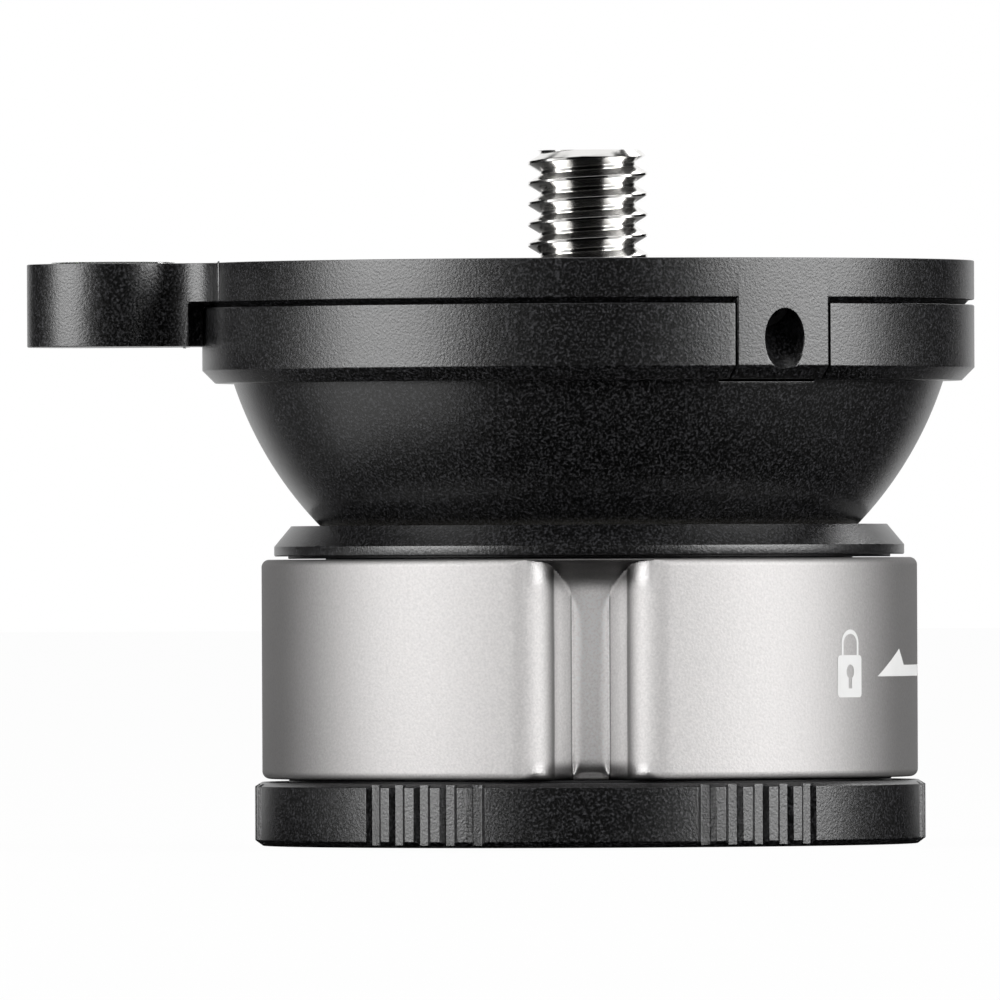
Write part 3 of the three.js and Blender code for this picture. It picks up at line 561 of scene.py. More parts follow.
def base_place(column, row):
    """The envelope, cut back to the groove's depth."""
    turn, section = column
    radius, height = row
    return turn, min(radius, section), height


base = wrapped("base_disc", base_columns(), base_rows, base_place)

# Base: holes for the three seat screws, and the windows of the three cam pins
(far_side, right_side, seat_screw_bottom), (near_side, _, seat_screw_top) = cad_corners("seat_screw_2")
screw_circle = -(near_side + far_side) / 2
seat_screw_head_radius = -right_side
seat_screw_radius = 1.25
seat_screw_head_top = 2.6
(_, _, pin_bottom), (_, pin_radius, pin_top) = cad_corners("cam_pin_1")
clamp_lift = 1.2
pin_slack = 0.3
window_half = pin_radius + pin_slack
hole_top = seat_screw_top + 2 * slack
thirds = (0, 120, 240)
for turn in thirds:
    window = upright(
        "window", oblong(cavity_radius - past, sleeve_radius + past, window_half),
        pin_bottom - pin_slack, pin_top + clamp_lift + pin_slack)
    screw_hole = turned("screw_hole", [
        (0, -past), (seat_screw_head_radius + slack, -past),
        (seat_screw_head_radius + slack, seat_screw_head_top + slack),
        (seat_screw_radius + slack, seat_screw_head_top + slack),
        (seat_screw_radius + slack, hole_top), (0, hole_top),
    ], 32)
    cut(base, moved(window, turn=turn), moved(screw_hole, (screw_circle, 0, 0), turn + 60))
softened(base, 0)
finished(base, black_anodised, "black_anodised", "base", "base_body")

# Tripod bush
# A turned steel bush with the tripod screw's 3/8 inch thread. It is pressed into the base from below,
# up to its flange.
stud_pitch = 1.5875
(_, _, bush_bottom), (bush_flange_radius, _, bush_top) = cad_corners("tripod_bush")
bush_radius = 6.4
bush_flange_top = bush_flange_depth - 0.05
bush_bore = 4.02
bush_thread_root = 4.76
bush_crest_at = 0.31
bush_mouth = 0.7
thread_steps = 72


def thread(name, root, crest, bottom, top, crest_at, pitch=stud_pitch):
    """A right-hand thread as a closed rod, its crest at height crest_at on the +X side."""
    flank = [(0.055, crest), (0.09, crest - 0.05), (0.40, root + 0.05), (0.43, root)]
    ridge = [(-0.5, root)] + [(-share, radius) for share, radius in reversed(flank)] + flank
    first = math.floor((bottom - crest_at) / pitch) - 1
    last = math.ceil((top - crest_at) / pitch) + 1
    rows = []
    for turn in range(first, last + 1):
        rows += [(radius, crest_at + pitch * (turn + share)) for share, radius in ridge]
    columns = [math.radians(360 * step / thread_steps) for step in range(thread_steps + 1)]

    def place(column, row):
        return column, row[0], row[1] + pitch * column / (2 * math.pi)

    rod = wrapped(name, columns, rows, place)
    for height, outward in ((bottom, -1), (top, 1)):
        opened(rod)
        bpy.ops.mesh.bisect(
            plane_co=(0, 0, height * MM), plane_no=(0, 0, outward), clear_outer=True, threshold=1e-6)
        bpy.ops.mesh.edge_face_add()
        closed()
    return tidied(rod)


def machined(name, colour, roughness, metallic=1.0, lines_depth=0.002, square_on_shade=1.0):
    """Bare turned or drawn metal with fine lines and slight stains. Its colour can be darkened where it
    faces the view square on: painted shade that tones down the lamps' highlights.
    """
    material, shader, start = fresh_material(name)
    place = start.node("ShaderNodeTexCoord", output="Object")
    stretched = start.node("ShaderNodeMapping", (), {"Vector": place, "Scale": (400.0, 400.0, 9000.0)})
    lines = noise(stretched, 1.0, 2.0)
    stains = noise(place, 260.0, 3.0)
    facing = start.node("ShaderNodeLayerWeight", (), {"Blend": 0.5}, "Facing")
    # Darker square on by the last factor: painted shade.
    tone = (0.9 + 0.2 * stains) * between(facing, 0.12, 0.42, square_on_shade, 1)
    tinted((*colour, 1), tone).feed(shader, "Base Color")
    (roughness + 0.1 * lines + 0.08 * (stains - 0.5)).feed(shader, "Roughness")
    bumped(lines, 0.5, lines_depth).feed(shader, "Normal")
    shader.inputs["Metallic"].default_value = metallic
    return material


bush = turned("threaded_bush", rounded([
    (bush_bore, bush_bottom + bush_mouth, 0),
    (bush_bore + bush_mouth, bush_bottom, 0),
    (bush_flange_radius, bush_bottom, 0.15),
    (bush_flange_radius, bush_flange_top, 0.05),
    (bush_radius, bush_flange_top, 0),
    (bush_radius, bush_top, 0.2),
    (bush_bore, bush_top, 0),
]), 120)
tap = thread("tap", bush_bore - 0.03, bush_thread_root, -0.4, bush_top + 0.9, bush_crest_at)
softened(cut(bush, tap), 0, limit=28)
bright_steel = machined("bright_steel", (0.5, 0.49, 0.47), 0.24)
finished(bush, bright_steel, "stainless_steel", "base", "tripod_bush")

# Slip washers
# Two flat rings of black acetal, punched from sheet, above and below the lock ring. They hold it
# clear of the base and the seat, which are the two thin shadow gaps.
washer_round = 0.08


def moulded(name, colour, roughness, grain=0.006):
    """Moulded or punched plastic with a faint mottle and a fine texture."""
    material, shader, start = fresh_material(name)
    place = start.node("ShaderNodeTexCoord", output="Object")
    mottle = noise(place, 300.0, 3.0)
    texture = noise(place, 6000.0, 1.0)
    tinted((*colour, 1), 0.88 + 0.24 * mottle).feed(shader, "Base Color")
    (roughness + 0.15 * (mottle - 0.5)).feed(shader, "Roughness")
    bumped(texture, 0.6, grain).feed(shader, "Normal")
    return material


black_acetal = moulded("black_acetal", (0.012, 0.012, 0.013), 0.42)
for side in ("lower", "upper"):
    (_, _, bottom), (_, _, top) = cad_corners(f"{side}_slip_washer")
    washer = turned(f"{side}_slip_ring", rounded([
        (washer_inner, bottom, washer_round), (washer_outer, bottom, washer_round),
        (washer_outer, top, washer_round), (washer_inner, top, washer_round),
    ]))
    finished(softened(washer, 0), black_acetal, "black_acetal", "base", f"{side}_slip_washer")

# Lock ring
# Turned from aluminium, bead blasted and anodised in a warm silver, with three finger notches milled
# up its side. It turns on the base's sleeve, and its inner grooves move the clamp's three pins.
(_, _, ring_bottom), (_, ring_radius, ring_top) = cad_corners("lock_ring")
ring_bore = 20.616
ring_round = 0.6
ring_bore_chamfer = 0.3
lip_reach = 6.2
lip_round = 3.0
lip_end = math.radians(72)
crease_half = 2.8
floor_half = 1.45
wall_slope = math.radians(50)
channel_round = 1.142
mark_depth = 0.07
channel_blend = 0.2
scoop_rise = 4.92
scoop_round = 4.8
flare_rise = 2.3
flare_reach = 0.8
blend = 0.1


def notch_half():
    """A finger notch from its lip to its middle as [across, depth], from the ring's outside."""
    start = math.asin(lip_reach / ring_radius)
    drop = ring_radius - math.sqrt(ring_radius ** 2 - lip_reach ** 2)
    span = (lip_reach - crease_half) / (math.sin(lip_end) + math.sin(start))
    radius = min(lip_round, span)
    points = []
    lip_steps = 16
    for step in range(lip_steps + 1):
        turn = -start + (lip_end + start) * step / lip_steps
        across = lip_reach - radius * (math.sin(turn) + math.sin(start))
        points.append((across, drop + radius * (math.cos(start) - math.cos(turn))))
    crease_across, crease_depth = points[-1]
    wall_run = crease_across - floor_half
    wall_depth = crease_depth + wall_run * math.tan(wall_slope)
    for share in (0.03, 0.1, 0.2, 0.3, 0.4, 0.5, 0.6, 0.7, 0.8, 0.9, 0.96):
        depth = crease_depth + share * (wall_depth - crease_depth)
        points.append((crease_across - share * wall_run, depth))
    points.append((floor_half, wall_depth + mark_depth))
    channel_steps = 10
    for step in range(1, channel_steps + 1):
        turn = wall_slope * (1 - step / channel_steps)
        points.append((
            floor_half - channel_round * (math.sin(wall_slope) - math.sin(turn)),
            wall_depth + channel_round * (math.cos(turn) - math.cos(wall_slope)),
        ))
    return points


def ring_columns():
    """The turns from +X round the ring, and the notch's section there as [radius, share of channel]."""
    half = notch_half()
    sides = [(-across, depth) for across, depth in half] + half[::-1]
    columns = []
    for turn in thirds:
        middle = math.radians(front + turn)
        for across, depth in sides:
            bend, radius = polar(across, depth, ring_radius)
            channel = min(1, max(0, (floor_half - abs(across)) / channel_blend))
            columns.append((middle + bend, radius, channel))
        next_notch = middle + math.radians(120) + polar(*sides[0], ring_radius)[0]
        columns += even_columns(columns[-1][0], next_notch, 66, ring_radius, 0)
    turn, radius, channel = columns[0]
    columns.append((turn + 2 * math.pi, radius, channel))
    return columns


def quarter(steps):
    """Even turns from 0 to 90 degrees."""
    return [math.radians(90 * step / steps) for step in range(steps + 1)]


def ring_rows():
    """Heights up the outside, then the [radius, height] corners of the top, the bore and the underside."""
    heights = [ring_bottom + ring_round * (1 - math.cos(turn)) for turn in quarter(8)]
    heights += [ring_bottom + flare_rise * step / 12 for step in range(1, 13)]
    heights += [ring_bottom + 4 + 2.2 * step for step in range(5)]
    heights += [ring_top - scoop_rise + scoop_round * math.sin(turn) for turn in quarter(26)]
    heights += [ring_top - ring_round * (1 - math.sin(turn)) for turn in quarter(8)]
    rows = [(None, height) for height in sorted({round(height, 4) for height in heights})]
    rows += [
        (ring_bore + ring_bore_chamfer, ring_top),
        (ring_bore, ring_top - ring_bore_chamfer),
        (ring_bore, ring_bottom + ring_bore_chamfer),
        (ring_bore + ring_bore_chamfer, ring_bottom),
        (None, ring_bottom),
    ]
    return rows


ring_floor = ring_radius - notch_half()[-1][1]


def edge_drop(distance):
    """How far a round edge falls back at a distance from its end."""
    inside = max(0, ring_round - distance)
    return ring_round - math.sqrt(max(0, ring_round ** 2 - inside ** 2))


def ring_place(column, row):
    """A notch's section, with the scoop above and the flare below where they cut less deep."""
    turn, section, channel = column
    radius, height = row
    if radius is not None:
        return turn, radius, height
    rise = max(0, height - ring_top + scoop_rise)
    scoop = ring_floor + scoop_round - math.sqrt(max(0, scoop_round ** 2 - rise ** 2))
    fall = max(0, (ring_bottom + flare_rise - height) / flare_rise)
    flare = ring_floor + flare_reach * (1 - math.sqrt(max(0, 1 - fall ** 2)))
    cover = max(scoop, flare) if rise or fall else 0
    if section > ring_radius - 0.001 or not cover:
        radius = section
    else:
        radius = (section + cover + math.sqrt((section - cover) ** 2 + blend ** 2)) / 2
        radius = min(radius, ring_radius)
        radius = max(section, radius - blend / 2 * (abs(section - cover) < 3 * blend))
    radius -= edge_drop(height - ring_bottom) * (1 - channel)
    return turn, min(radius, ring_radius - edge_drop(ring_top - height)), height


ring = wrapped("twist_ring", ring_columns(), ring_rows(), ring_place)
softened(ring, 0, limit=40)


def milled_with_painted_light(material, metallic):
    """Paints the notches' floors lighter, a painted highlight, and their run-outs darker, painted shade. It
    also makes the run-outs glossier and more metallic, and the floors less metallic, than the turned skin.
    """
    shader = material.node_tree.nodes["Principled BSDF"]
    start = Socket(material.node_tree)
    place = start.node("ShaderNodeTexCoord", output="Object")
    parts = start.node("ShaderNodeSeparateXYZ", (), {"Vector": place})
    x, y, z = (Socket(start.tree, parts.socket.node.outputs[axis]) for axis in "XYZ")
    depth = ring_radius * MM - start.math("SQRT", x * x + y * y)
    inside = between(depth, 0.15 * MM, 0.6 * MM)
    scooped = between(z, 19.4 * MM, 21.0 * MM)
    flared = 1 - between(z, 5.9 * MM, 6.9 * MM)
    run_out = start.math("MAXIMUM", scooped, flared) * inside
    channel = between(depth, 2.1 * MM, 3.1 * MM) * (1 - run_out)
    colour = Socket(start.tree, shader.inputs["Base Color"].links[0].from_socket)
    rough = Socket(start.tree, shader.inputs["Roughness"].links[0].from_socket)
    # Painted light in the colour: the floors are lit up by 28 % as a painted highlight and the run-outs
    # shaded by 45 % as painted shade.
    tinted(colour, 1 + 0.28 * channel - 0.45 * run_out).feed(shader, "Base Color")
    (rough - 0.34 * run_out).feed(shader, "Roughness")
    (metallic + (1 - metallic) * run_out - 0.3 * channel).feed(shader, "Metallic")


silver_metallic = 0.86
# The silver's colour falls to about a third towards a slanting view: painted shade on the ring's
# turned-away sides.
silver_anodised = blasted(
    "silver_anodised", (0.77, 0.755, 0.75), silver_metallic, roughness=0.72, grain=0.014, speckle=0.4,
    slant_shade=0.31)
milled_with_painted_light(silver_anodised, silver_metallic)
finished(ring, silver_anodised, "silver_anodised", "twist_ring", "lock_ring")

# Print on the ring
# White screen print beside the front notch: a padlock, and a half arrow that points the way to lock.
# A thin film of ink, wrapped round the ring.
ink_lift = 0.004
ink_depth = 0.02
ink_strip = 0.35
lock_middle = 22.99
shackle_middle = 23.02
lock_half = 1.49
lock_bottom = 11.4
lock_top = 14.65
lock_corner = 0.28
shackle_half = 1.07
shackle_spring = 15.57
shackle_side = 0.24
shackle_crown = 0.34
keyhole_middle = 13.38
keyhole_half = (0.47, 0.56)
keyhole_stem_half = 0.21
keyhole_stem_top = keyhole_middle - 0.45
keyhole_bottom = 12.09
arrow_tip = (26.89, 13.0)
arrow_barb = (30.97, 15.12)
arrow_notch = (32.1, 13.86)
arrow_end = 44.4


def arch(middle, half, foot, spring, crown):
    """An arch's [across, up] points from its left foot over the crown to its right foot."""
    bow = [math.radians(180 - 180 * step / 20) for step in range(21)]
    return [(middle - half, foot)] + [
        (middle + half * math.cos(turn), spring + crown * math.sin(turn)) for turn in bow
    ] + [(middle + half, foot)]


def printed(obj):
    """Cuts a flat print into strips and wraps it round the ring: across becomes the turn."""
    opened(obj)
    bpy.ops.mesh.quads_convert_to_tris()
    left = min(corner[0] for corner in obj.bound_box) / MM
    right = max(corner[0] for corner in obj.bound_box) / MM
    for strip in range(1, math.ceil((right - left) / ink_strip)):
        bpy.ops.mesh.select_all(action="SELECT")
        bpy.ops.mesh.bisect(
            plane_co=((left + strip * ink_strip) * MM, 0, 0), plane_no=(1, 0, 0), threshold=1e-6)
    closed()
    for vertex in obj.data.vertices:
        across, up, out = vertex.co
        turn = math.radians(front) + across / (ring_radius * MM)
        radius = ring_radius * MM + out
        vertex.co = (radius * math.cos(turn), radius * math.sin(turn), up)
    return tidied(obj)


padlock = upright("padlock_print", rounded([
    (lock_middle - lock_half, lock_top, lock_corner),
    (lock_middle - lock_half, lock_bottom, lock_corner),
    (lock_middle + lock_half, lock_bottom, lock_corner),
    (lock_middle + lock_half, lock_top, lock_corner),
]) + arch(shackle_middle, shackle_half, lock_top, shackle_spring, shackle_half)[::-1], ink_lift, ink_depth)
opening = upright("opening", arch(
    shackle_middle, shackle_half - shackle_side, lock_top + 0.01,
    shackle_spring, shackle_half - shackle_crown), -past, past)
keyhole_turns = [math.radians(turn) for turn in range(-48, 229, 12)]
keyhole = upright("keyhole", [
    (shackle_middle + keyhole_stem_half, keyhole_bottom),
    (shackle_middle + keyhole_stem_half, keyhole_stem_top),
] + [
    (shackle_middle + keyhole_half[0] * math.cos(turn), keyhole_middle + keyhole_half[1] * math.sin(turn))
    for turn in keyhole_turns
] + [
    (shackle_middle - keyhole_stem_half, keyhole_stem_top),
    (shackle_middle - keyhole_stem_half, keyhole_bottom),
], -past, past)
cut(padlock, opening, keyhole)
half_arrow = upright("half_arrow_print", [
    arrow_tip, (arrow_end, arrow_tip[1]), (arrow_end, arrow_notch[1]), arrow_notch, arrow_barb,
], ink_lift, ink_depth)
white_ink = moulded("white_ink", (0.62, 0.62, 0.615), 0.55, 0.003)
for mark in (padlock, half_arrow):
    printed(mark)
    bpy.ops.object.shade_flat()
    finished(mark, white_ink, "level_housing", "twist_ring")

# Bowl seat
# A black anodised ring with a long spigot. Three screws from below hold it to the base's sleeve, and
# its chamfered mouth carries the bowl on a plastic liner.
_, (_, seat_radius, seat_top) = cad_corners("bowl_seat")
(_, _, liner_bottom), (_, liner_radius, _) = cad_corners("seat_liner")
seat_bottom = 22.45
seat_groove = seat_bottom - washer_show + washer_groove
seat_chamfer = (1.33, 1.6)
seat_lower_round = 0.12
bowl_radius = 29
bowl_centre = 44.909
clear_sphere = bowl_radius + 0.3
bore_end = bowl_centre - math.sqrt(clear_sphere ** 2 - cavity_radius ** 2)


def dish(radius, start, end, steps):
    """Points of a sphere about the bowl's centre, angles in degrees from straight down."""
    points = []
    for step in range(steps + 1):
        turn = math.radians(start + (end - start) * step / steps)
        points.append((radius * math.sin(turn), bowl_centre - radius * math.cos(turn)))
    return points


def dish_angle(radius, across=None, height=None):
    """The angle from straight down where a sphere has that radius across, or that height."""
    if across is not None:
        return math.degrees(math.asin(across / radius))
    return math.degrees(math.acos((bowl_centre - height) / radius))


mouth_start = dish_angle(clear_sphere, height=liner_bottom)
seat_mouth = dish(clear_sphere, mouth_start, dish_angle(clear_sphere, height=bore_end), 10)
seat = turned("seat_ring", rounded([
    (cavity_radius, spigot_bottom, 0),
    (sleeve_radius, spigot_bottom, fine_round),
    (sleeve_radius, seat_bottom, 0),
    (washer_inner - slack, seat_bottom, 0),
    (washer_inner - slack, seat_groove, 0),
    (washer_outer + slack, seat_groove, 0),
    (washer_outer + slack, seat_bottom, 0),
    (seat_radius, seat_bottom, seat_lower_round),
    (seat_radius, seat_top - seat_chamfer[1], fine_round),
    (seat_radius - seat_chamfer[0], seat_top, fine_round),
    (liner_radius + slack, seat_top, 0),
    (liner_radius + slack, liner_bottom, 0),
] + [(across, up, 0) for across, up in seat_mouth]))
softened(seat, 0)
finished(seat, black_anodised, "black_anodised", "base", "bowl_seat")

# Bowl
# Turned from aluminium and anodised black: a half ball that tilts in its seat, with a flange above
# that has two slots for the plate's bosses and three threaded holes for the plate's screws.
_, (_, flange_radius, rim_top) = cad_corners("bowl")
(near_side, _, screw_bottom), (far_side, screw_head_radius, screw_top) = cad_corners("plate_screw_1")
bowl_inner = 26.2
bowl_opening = 12
flange_height = 5.85
flange_chamfer = 1.0
flange_round = 0.12
rim_bore = 23.3
flange_bottom = rim_top - flange_height
boss_width = 8.1
boss_seam = 0.18
plate_screw_circle = (near_side + far_side) / 2
plate_screw_radius = 1.45
boss_turns = (60, -60)
slot_half = boss_width / 2 + boss_seam
dish_end = dish_angle(bowl_radius, height=flange_bottom)
outer_dish = dish(bowl_radius, dish_angle(bowl_radius, bowl_opening), dish_end, 48)
inner_dish = dish(bowl_inner, dish_angle(bowl_inner, rim_bore), dish_angle(bowl_inner, bowl_opening), 24)
bowl = turned("half_bowl", outer_dish + rounded([
    (*outer_dish[-1], 0),
    (flange_radius - flange_chamfer, flange_bottom, 0.05),
    (flange_radius, flange_bottom + flange_chamfer, flange_round),
    (flange_radius, rim_top, flange_round),
    (rim_bore, rim_top, flange_round),
    (*inner_dish[0], 0),
])[1:-1] + inner_dish)


def drill(name, radius, bottom, top, steps):
    """A plain cylinder on the Z axis, to cut a hole with."""
    return turned(name, [(0, bottom), (radius, bottom), (radius, top), (0, top)], steps)


for turn in boss_turns:
    slot = upright(
        "slot", oblong(rim_bore - past, flange_radius + past, slot_half),
        flange_bottom - boss_seam, rim_top + past)
    cut(bowl, moved(slot, turn=turn))
for turn in thirds:
    hole = drill("hole", plate_screw_radius + slack, screw_bottom - slack, rim_top + past, 32)
    cut(bowl, moved(hole, (plate_screw_circle, 0, 0), turn))
softened(bowl, 0.06, limit=40)
finished(bowl, black_anodised, "black_anodised", "head", "bowl")

# Top plate
# A black anodised disc with the level's round tab on one side and two bosses that fill the bowl's
# slots. Each boss has an inclined hole for a grub screw.
(tab_end, _, _), (_, _, plate_top) = cad_corners("top_plate")
(cup_near, _, level_bottom), (cup_far, level_radius, _) = cad_corners("level_cup")
plate_gap = 0.4
plate_bottom = rim_top + plate_gap
plate_land = 29.6
plate_bore = flange_radius - 6
stud_hole = 4.8
tab_centre = (cup_near + cup_far) / 2
tab_radius = tab_centre - tab_end
tab_thickness = 6.45
tab_bottom = plate_top - tab_thickness
tab_fillet = 3.6
tab_fillet_end = 28.63
tab_root = -tab_fillet_end / 1.15
tab_clearance = 31.5
rib_half = 3.4
rib_gap = 0.06
rib_end = tab_centre + 3
lap = 0.3
grub_radius = 1.72
grub_angle = 43
grub_drop = 6.3
grub_run = grub_drop / math.sin(math.radians(grub_angle))
grub_past = 3
# Small turns that keep the cutters' edges off the plate's own, where a Boolean would fail
grub_off_line = 1.7
level_off_line = 0.7
plate = turned("round_plate", [
    (stud_hole, rim_top), (plate_bore, rim_top), (plate_bore, flange_bottom),
    (flange_radius - flange_chamfer, flange_bottom), (flange_radius, flange_bottom + flange_chamfer),
    (flange_radius, plate_top), (stud_hole, plate_top),
])
skirt = turned("skirt", [
    (plate_bore - past, flange_bottom - past), (flange_radius + past, flange_bottom - past),
    (flange_radius + past, plate_bottom), (plate_land, plate_bottom),
    (plate_land - plate_gap, rim_top), (plate_bore - past, rim_top),
])
for turn in boss_turns:
    block = upright(
        "block", oblong(rim_bore - 2 * past, flange_radius + 2 * past, boss_width / 2),
        flange_bottom - 2 * past, plate_bottom + 2 * past)
    cut(skirt, moved(block, turn=turn))
cut(plate, skirt)


def tab_outline():
    """The round pad, with a concave fillet on each side that runs from it to the disc's rim."""
    centre = -(tab_fillet_end + tab_fillet)
    across = math.sqrt((tab_radius + tab_fillet) ** 2 - (tab_centre - centre) ** 2)
    meet = math.degrees(math.atan2(across, tab_centre - centre))
    side = [(tab_root, -across)]
    for step in range(25):
        turn = math.radians(meet * step / 24)
        side.append((centre + tab_fillet * math.cos(turn), tab_fillet * math.sin(turn) - across))
    pad = []
    for step in range(1, 80):
        turn = math.radians(meet - 180 - 2 * meet * step / 80)
        pad.append((tab_centre + tab_radius * math.cos(turn), tab_radius * math.sin(turn)))
    return side + pad + [(x, -y) for x, y in reversed(side)]


def along_grub(obj, turn):
    """Moves a piece from the Z axis onto a grub screw's line, which climbs inwards from the boss."""
    moved(obj, turn=grub_off_line)
    moved(obj, (flange_radius, 0, plate_top - grub_drop), tilt=grub_angle - 90)
    return moved(obj, turn=turn)


for turn in boss_turns:
    grub_hole = drill("grub_hole", grub_radius + 0.01, -grub_past, grub_run + grub_past, 64)
    cut(plate, along_grub(grub_hole, turn))
head_height = screw_head_radius - plate_screw_radius
for turn in thirds:
    screw_seat = turned("screw_seat", [
        (0, rim_top - past), (plate_screw_radius + slack, rim_top - past),
        (plate_screw_radius + slack, screw_top - head_height - 0.05),
        (screw_head_radius + slack, screw_top - 0.05),
        (screw_head_radius + slack, plate_top + past), (0, plate_top + past),
    ], 64)
    cut(plate, moved(screw_seat, (plate_screw_circle, 0, 0), turn))
combined(plate, upright("neck", tab_outline(), plate_bottom, plate_top), "UNION")
pad = upright("pad", tab_outline(), tab_bottom, plate_bottom + lap)
cut(pad, drill("pad_clear", tab_clearance, tab_bottom - past, plate_bottom + lap + 0.01, 240))
combined(plate, pad, "UNION")
rib = upright(
    "rib", oblong(rib_end, 2 - flange_radius, rib_half), tab_bottom + 0.01, plate_bottom + lap + 0.1)
cut(rib, drill("rib_clear", flange_radius + rib_gap, tab_bottom - past, rim_top + 0.05, 240))
combined(plate, rib, "UNION")
level_hole = drill("level_hole", level_radius + slack, level_bottom - slack, plate_top + past, 96)
cut(plate, moved(moved(level_hole, turn=level_off_line), (tab_centre, 0, 0)))
softened(plate, 0.1)
finished(plate, black_anodised, "black_anodised", "head", "top_plate")

# Camera stud
# A stainless 3/8 inch stud with sixteen turns to the inch, screwed into the plate and locked by a
# thin nut below it, with a hexagon socket in its top.
(_, _, stud_bottom), (_, _, stud_top) = cad_corners("camera_stud")
stud_radius = 4.64
stud_root = 3.72
shank_radius = stud_radius - 0.1
stud_chamfer = 0.55
stud_socket_width = 4
stud_socket_depth = 3.2
crest_height = 52.106


def hexagon(width):
    """The corners of a hexagon, width being across its flats."""
    reach = width / math.sqrt(3)
    turns = [math.radians(60 * corner) for corner in range(6)]
    return [(reach * math.cos(turn), reach * math.sin(turn)) for turn in turns]


stud = thread("plate_stud", stud_root, stud_radius, stud_bottom, stud_top, crest_height)
envelope = turned("envelope", [
    (0, stud_bottom - past), (shank_radius - stud_chamfer, stud_bottom - 0.01),
    (shank_radius, stud_bottom + stud_chamfer), (shank_radius, plate_top - 0.2),
    (stud_radius + past, plate_top - 0.1), (stud_radius + past, stud_top - stud_chamfer - past),
    (stud_radius - stud_chamfer, stud_top + 0.01), (0, stud_top + 0.02),
], 72)
combined(stud, envelope, "INTERSECT")
cut(stud, upright("socket", hexagon(stud_socket_width), stud_top - stud_socket_depth, stud_top + past))
softened(stud, 0, limit=28)
# Its colour falls to an eighth where it faces the view square on: painted shade over the softboxes'
# highlights on the stud.
stud_steel = machined("stud_steel", (0.85, 0.84, 0.82), 0.12, square_on_shade=0.12)
finished(stud, stud_steel, "stainless_steel", "head", "camera_stud")

# Plate screws
# Three countersunk screws of blackened steel, with hexagon sockets. They go down through the plate into
# the bowl's flange.
socket_width = 2.5
socket_depth = 1.5
screw_tip = screw_bottom + 0.12
tip_chamfer = 0.3
screw_soft = 0.05
black_steel = machined("black_steel", (0.03, 0.03, 0.032), 0.34, 0.6)


def copied(obj, name):
    """A copy with its own mesh."""
    twin = obj.copy()
    twin.data = obj.data.copy()
    twin.name = twin.data.name = name
    bpy.context.collection.objects.link(twin)
    return twin


def in_thirds(screw, name, body, node):
    """Finishes a screw and its two copies, each a third of a turn on from the last."""
    for number in (1, 2, 3):
        if number > 1:
            screw = moved(copied(screw, f"{name}_{number}"), turn=120)
        finished(screw, black_steel, "black_steel", body, f"{node}_{number}")


plate_screw = turned("countersunk_1", rounded([
    (0, screw_tip, 0),
    (plate_screw_radius - tip_chamfer, screw_tip, 0),
    (plate_screw_radius, screw_tip + tip_chamfer, 0),
    (plate_screw_radius, screw_top - head_height - 0.1, 0.1),
    (screw_head_radius, screw_top - 0.12, 0.05),
    (screw_head_radius, screw_top, 0.06),
    (0, screw_top, 0),
]), 72)
cut(plate_screw, upright("socket", hexagon(socket_width), screw_top - socket_depth, screw_top + past))
softened(plate_screw, screw_soft)
in_thirds(moved(plate_screw, (plate_screw_circle, 0, 0)), "countersunk", "head", "plate_screw")

# Seat screws
# Three long socket screws of blackened steel. They go up through the base's sleeve into the seat's
# spigot.
seat_socket_width = 2.0
seat_socket_depth = 1.3
seat_screw = turned("long_screw_1", rounded([
    (0, seat_screw_bottom, 0),
    (seat_screw_head_radius, seat_screw_bottom, 0.2),
    (seat_screw_head_radius, seat_screw_head_top, 0.05),
    (seat_screw_radius, seat_screw_head_top, 0),
    (seat_screw_radius, seat_screw_top - tip_chamfer, 0),
    (seat_screw_radius - tip_chamfer, seat_screw_top, 0),
    (0, seat_screw_top, 0),
]), 72)
seat_socket = upright("socket", hexagon(seat_socket_width), -past, seat_screw_bottom + seat_socket_depth)
softened(cut(seat_screw, seat_socket), screw_soft)
in_thirds(moved(seat_screw, (screw_circle, 0, 0), 60), "long_screw", "base", "seat_screw")

# Bubble level
# A white cup pressed into the tab, filled with yellow-green fluid round an air bubble, under a clear
# lens with a black centring ring.
(_, _, lens_bottom), (_, _, lens_top) = cad_corners("level_lens")
level_wall = 0.9
cup_floor = level_bottom + 0.8
cup_inner = level_radius - level_wall
fluid_slack = 0.05
fluid_bottom = cup_floor + 2 * fluid_slack
fluid_top = lens_bottom - fluid_slack
lens_chamfer = 0.33
bubble_radius = 1.5
bubble_height = 0.5
mark_inner = 1.85
mark_outer = mark_inner + 0.22
mark_top = lens_top + 0.02
cup = turned("vial_cup", rounded([
    (0, level_bottom, 0), (level_radius, level_bottom, 0.2), (level_radius, lens_bottom, 0.08),
    (cup_inner, lens_bottom, 0.08), (cup_inner, cup_floor, 0.25), (0, cup_floor, 0),
]), 120)
dimple = [
    (bubble_radius * math.sin(turn), fluid_top - bubble_height * math.cos(turn)) for turn in quarter(9)
]
fluid = turned("vial_fluid", [
    (0, fluid_bottom), (cup_inner - fluid_slack, fluid_bottom),
    (cup_inner - fluid_slack, fluid_top), (bubble_radius + 0.06, fluid_top),
] + [(across * 1.03, up - 0.04) for across, up in dimple[-2:0:-1]] + [(0, dimple[0][1] - 0.04)], 120)
bubble = turned("vial_bubble", dimple + [(0, fluid_top)], 72)
lens = turned("vial_lens", rounded([
    (0, lens_bottom, 0), (level_radius, lens_bottom, 0.05), (level_radius, lens_top - lens_chamfer, 0.1),
    (level_radius - lens_chamfer, lens_top, 0.12), (0, lens_top, 0),
]), 120)
mark = turned("vial_mark", [
    (mark_inner, lens_top), (mark_outer, lens_top), (mark_outer, mark_top), (mark_inner, mark_top),
], 96)
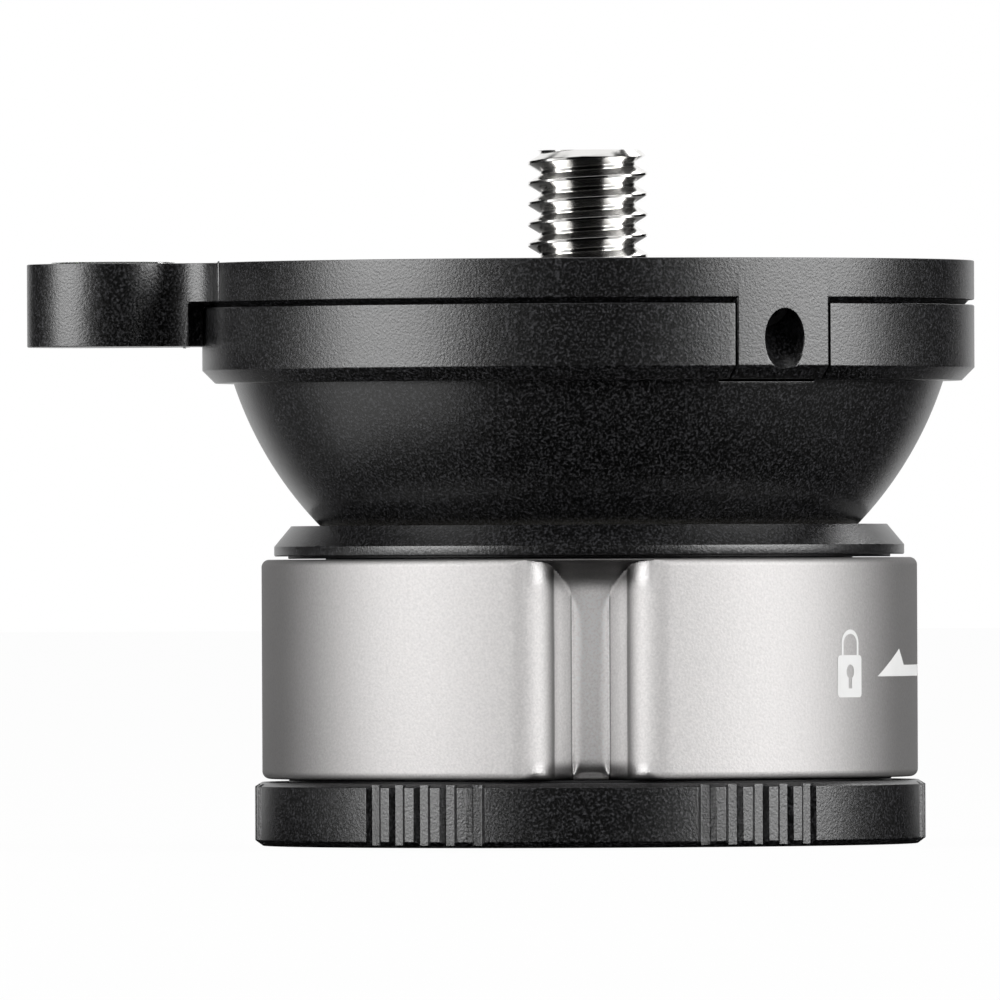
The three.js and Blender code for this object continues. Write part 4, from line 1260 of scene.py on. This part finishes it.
level_pieces = (
    (cup, moulded("cup_white", (0.82, 0.82, 0.78), 0.3), "level_housing", ("level_cup",)),
    (fluid, moulded("fluid_green", (0.52, 0.75, 0.04), 0.08, 0), "level_fluid", ("level_fluid",)),
    (bubble, moulded("bubble_air", (0.86, 0.95, 0.62), 0.05, 0), "level_bubble", ("level_bubble",)),
    (lens, moulded("lens_clear", (0.97, 1.0, 0.98), 0.04, 0), "level_lens", ("level_lens",)),
    (mark, moulded("mark_black", (0.01, 0.01, 0.01), 0.4), "black_acetal", ()),
)
for piece, material, slot, nodes in level_pieces:
    moved(softened(piece, 0), (tab_centre, 0, 0))
    finished(piece, material, slot, "head", *nodes)
for material, clear in (("fluid_green", 0.35), ("bubble_air", 0.3), ("lens_clear", 0.97)):
    shader = bpy.data.materials[material].node_tree.nodes["Principled BSDF"]
    shader.inputs["Transmission Weight"].default_value = clear
    shader.inputs["IOR"].default_value = 1.4

# Grub screws
# A threaded steel grub screw with a hexagon socket in each boss, which presses a nylon tip on what is
# screwed onto the stud.
grub_start = 3.161
grub_end = 6.361
grub_thread_radius = 1.67
grub_thread_root = 1.42
grub_pitch = 0.7
tip_radius = 1.2
tip_start = 6.41
tip_end = 7.51
grub_socket_width = 1.5
grub_socket_depth = 1.3
grub_screw = thread(
    "set_screw", grub_thread_root, grub_thread_radius, grub_start, grub_end, grub_start + 0.3, grub_pitch)
grub_socket_end = grub_start + grub_socket_depth
cut(grub_screw, upright("socket", hexagon(grub_socket_width), grub_start - past, grub_socket_end))
softened(grub_screw, 0, limit=28)
grub_tip = turned("nylon_tip", rounded([
    (0, tip_start, 0), (tip_radius, tip_start, 0.12), (tip_radius, tip_end, 0.3), (0, tip_end, 0),
]), 48)
softened(grub_tip, 0)
natural_nylon = moulded("natural_nylon", (0.72, 0.7, 0.62), 0.45)
for number, turn in enumerate(boss_turns, 1):
    screw = along_grub(copied(grub_screw, f"set_screw_at_{number}"), turn)
    finished(screw, black_steel, "black_steel", f"grub_{number}", f"grub_screw_{number}")
    tip = along_grub(copied(grub_tip, f"nylon_tip_at_{number}"), turn)
    finished(tip, natural_nylon, "nylon", f"tip_{number}", f"grub_tip_{number}")
for pattern in (grub_screw, grub_tip):
    bpy.data.objects.remove(pattern)

# Clamp inside the head
# What no side shows keeps its CAD shape: the springs, the bronze carriage and dome, the steel pins, rod
# and nuts that pull the bowl down, and the plastic liner and washer that it slides on.
clamp_pieces = (
    (machined("spring_wire", (0.34, 0.33, 0.32), 0.3), ("release_spring", "disc_spring")),
    (machined("bronze", (0.52, 0.34, 0.17), 0.32), ("carriage", "clamp_dome")),
    (bright_steel, ("cam_pin_1", "cam_pin_2", "cam_pin_3", "clamp_rod", "clamp_nut", "stud_nut")),
    (moulded("slip_plastic", (0.55, 0.53, 0.47), 0.4), ("seat_liner", "slide_washer")),
)
for material, names in clamp_pieces:
    for name in names:
        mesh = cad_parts[name].data
        mesh.materials.clear()
        mesh.materials.append(material)
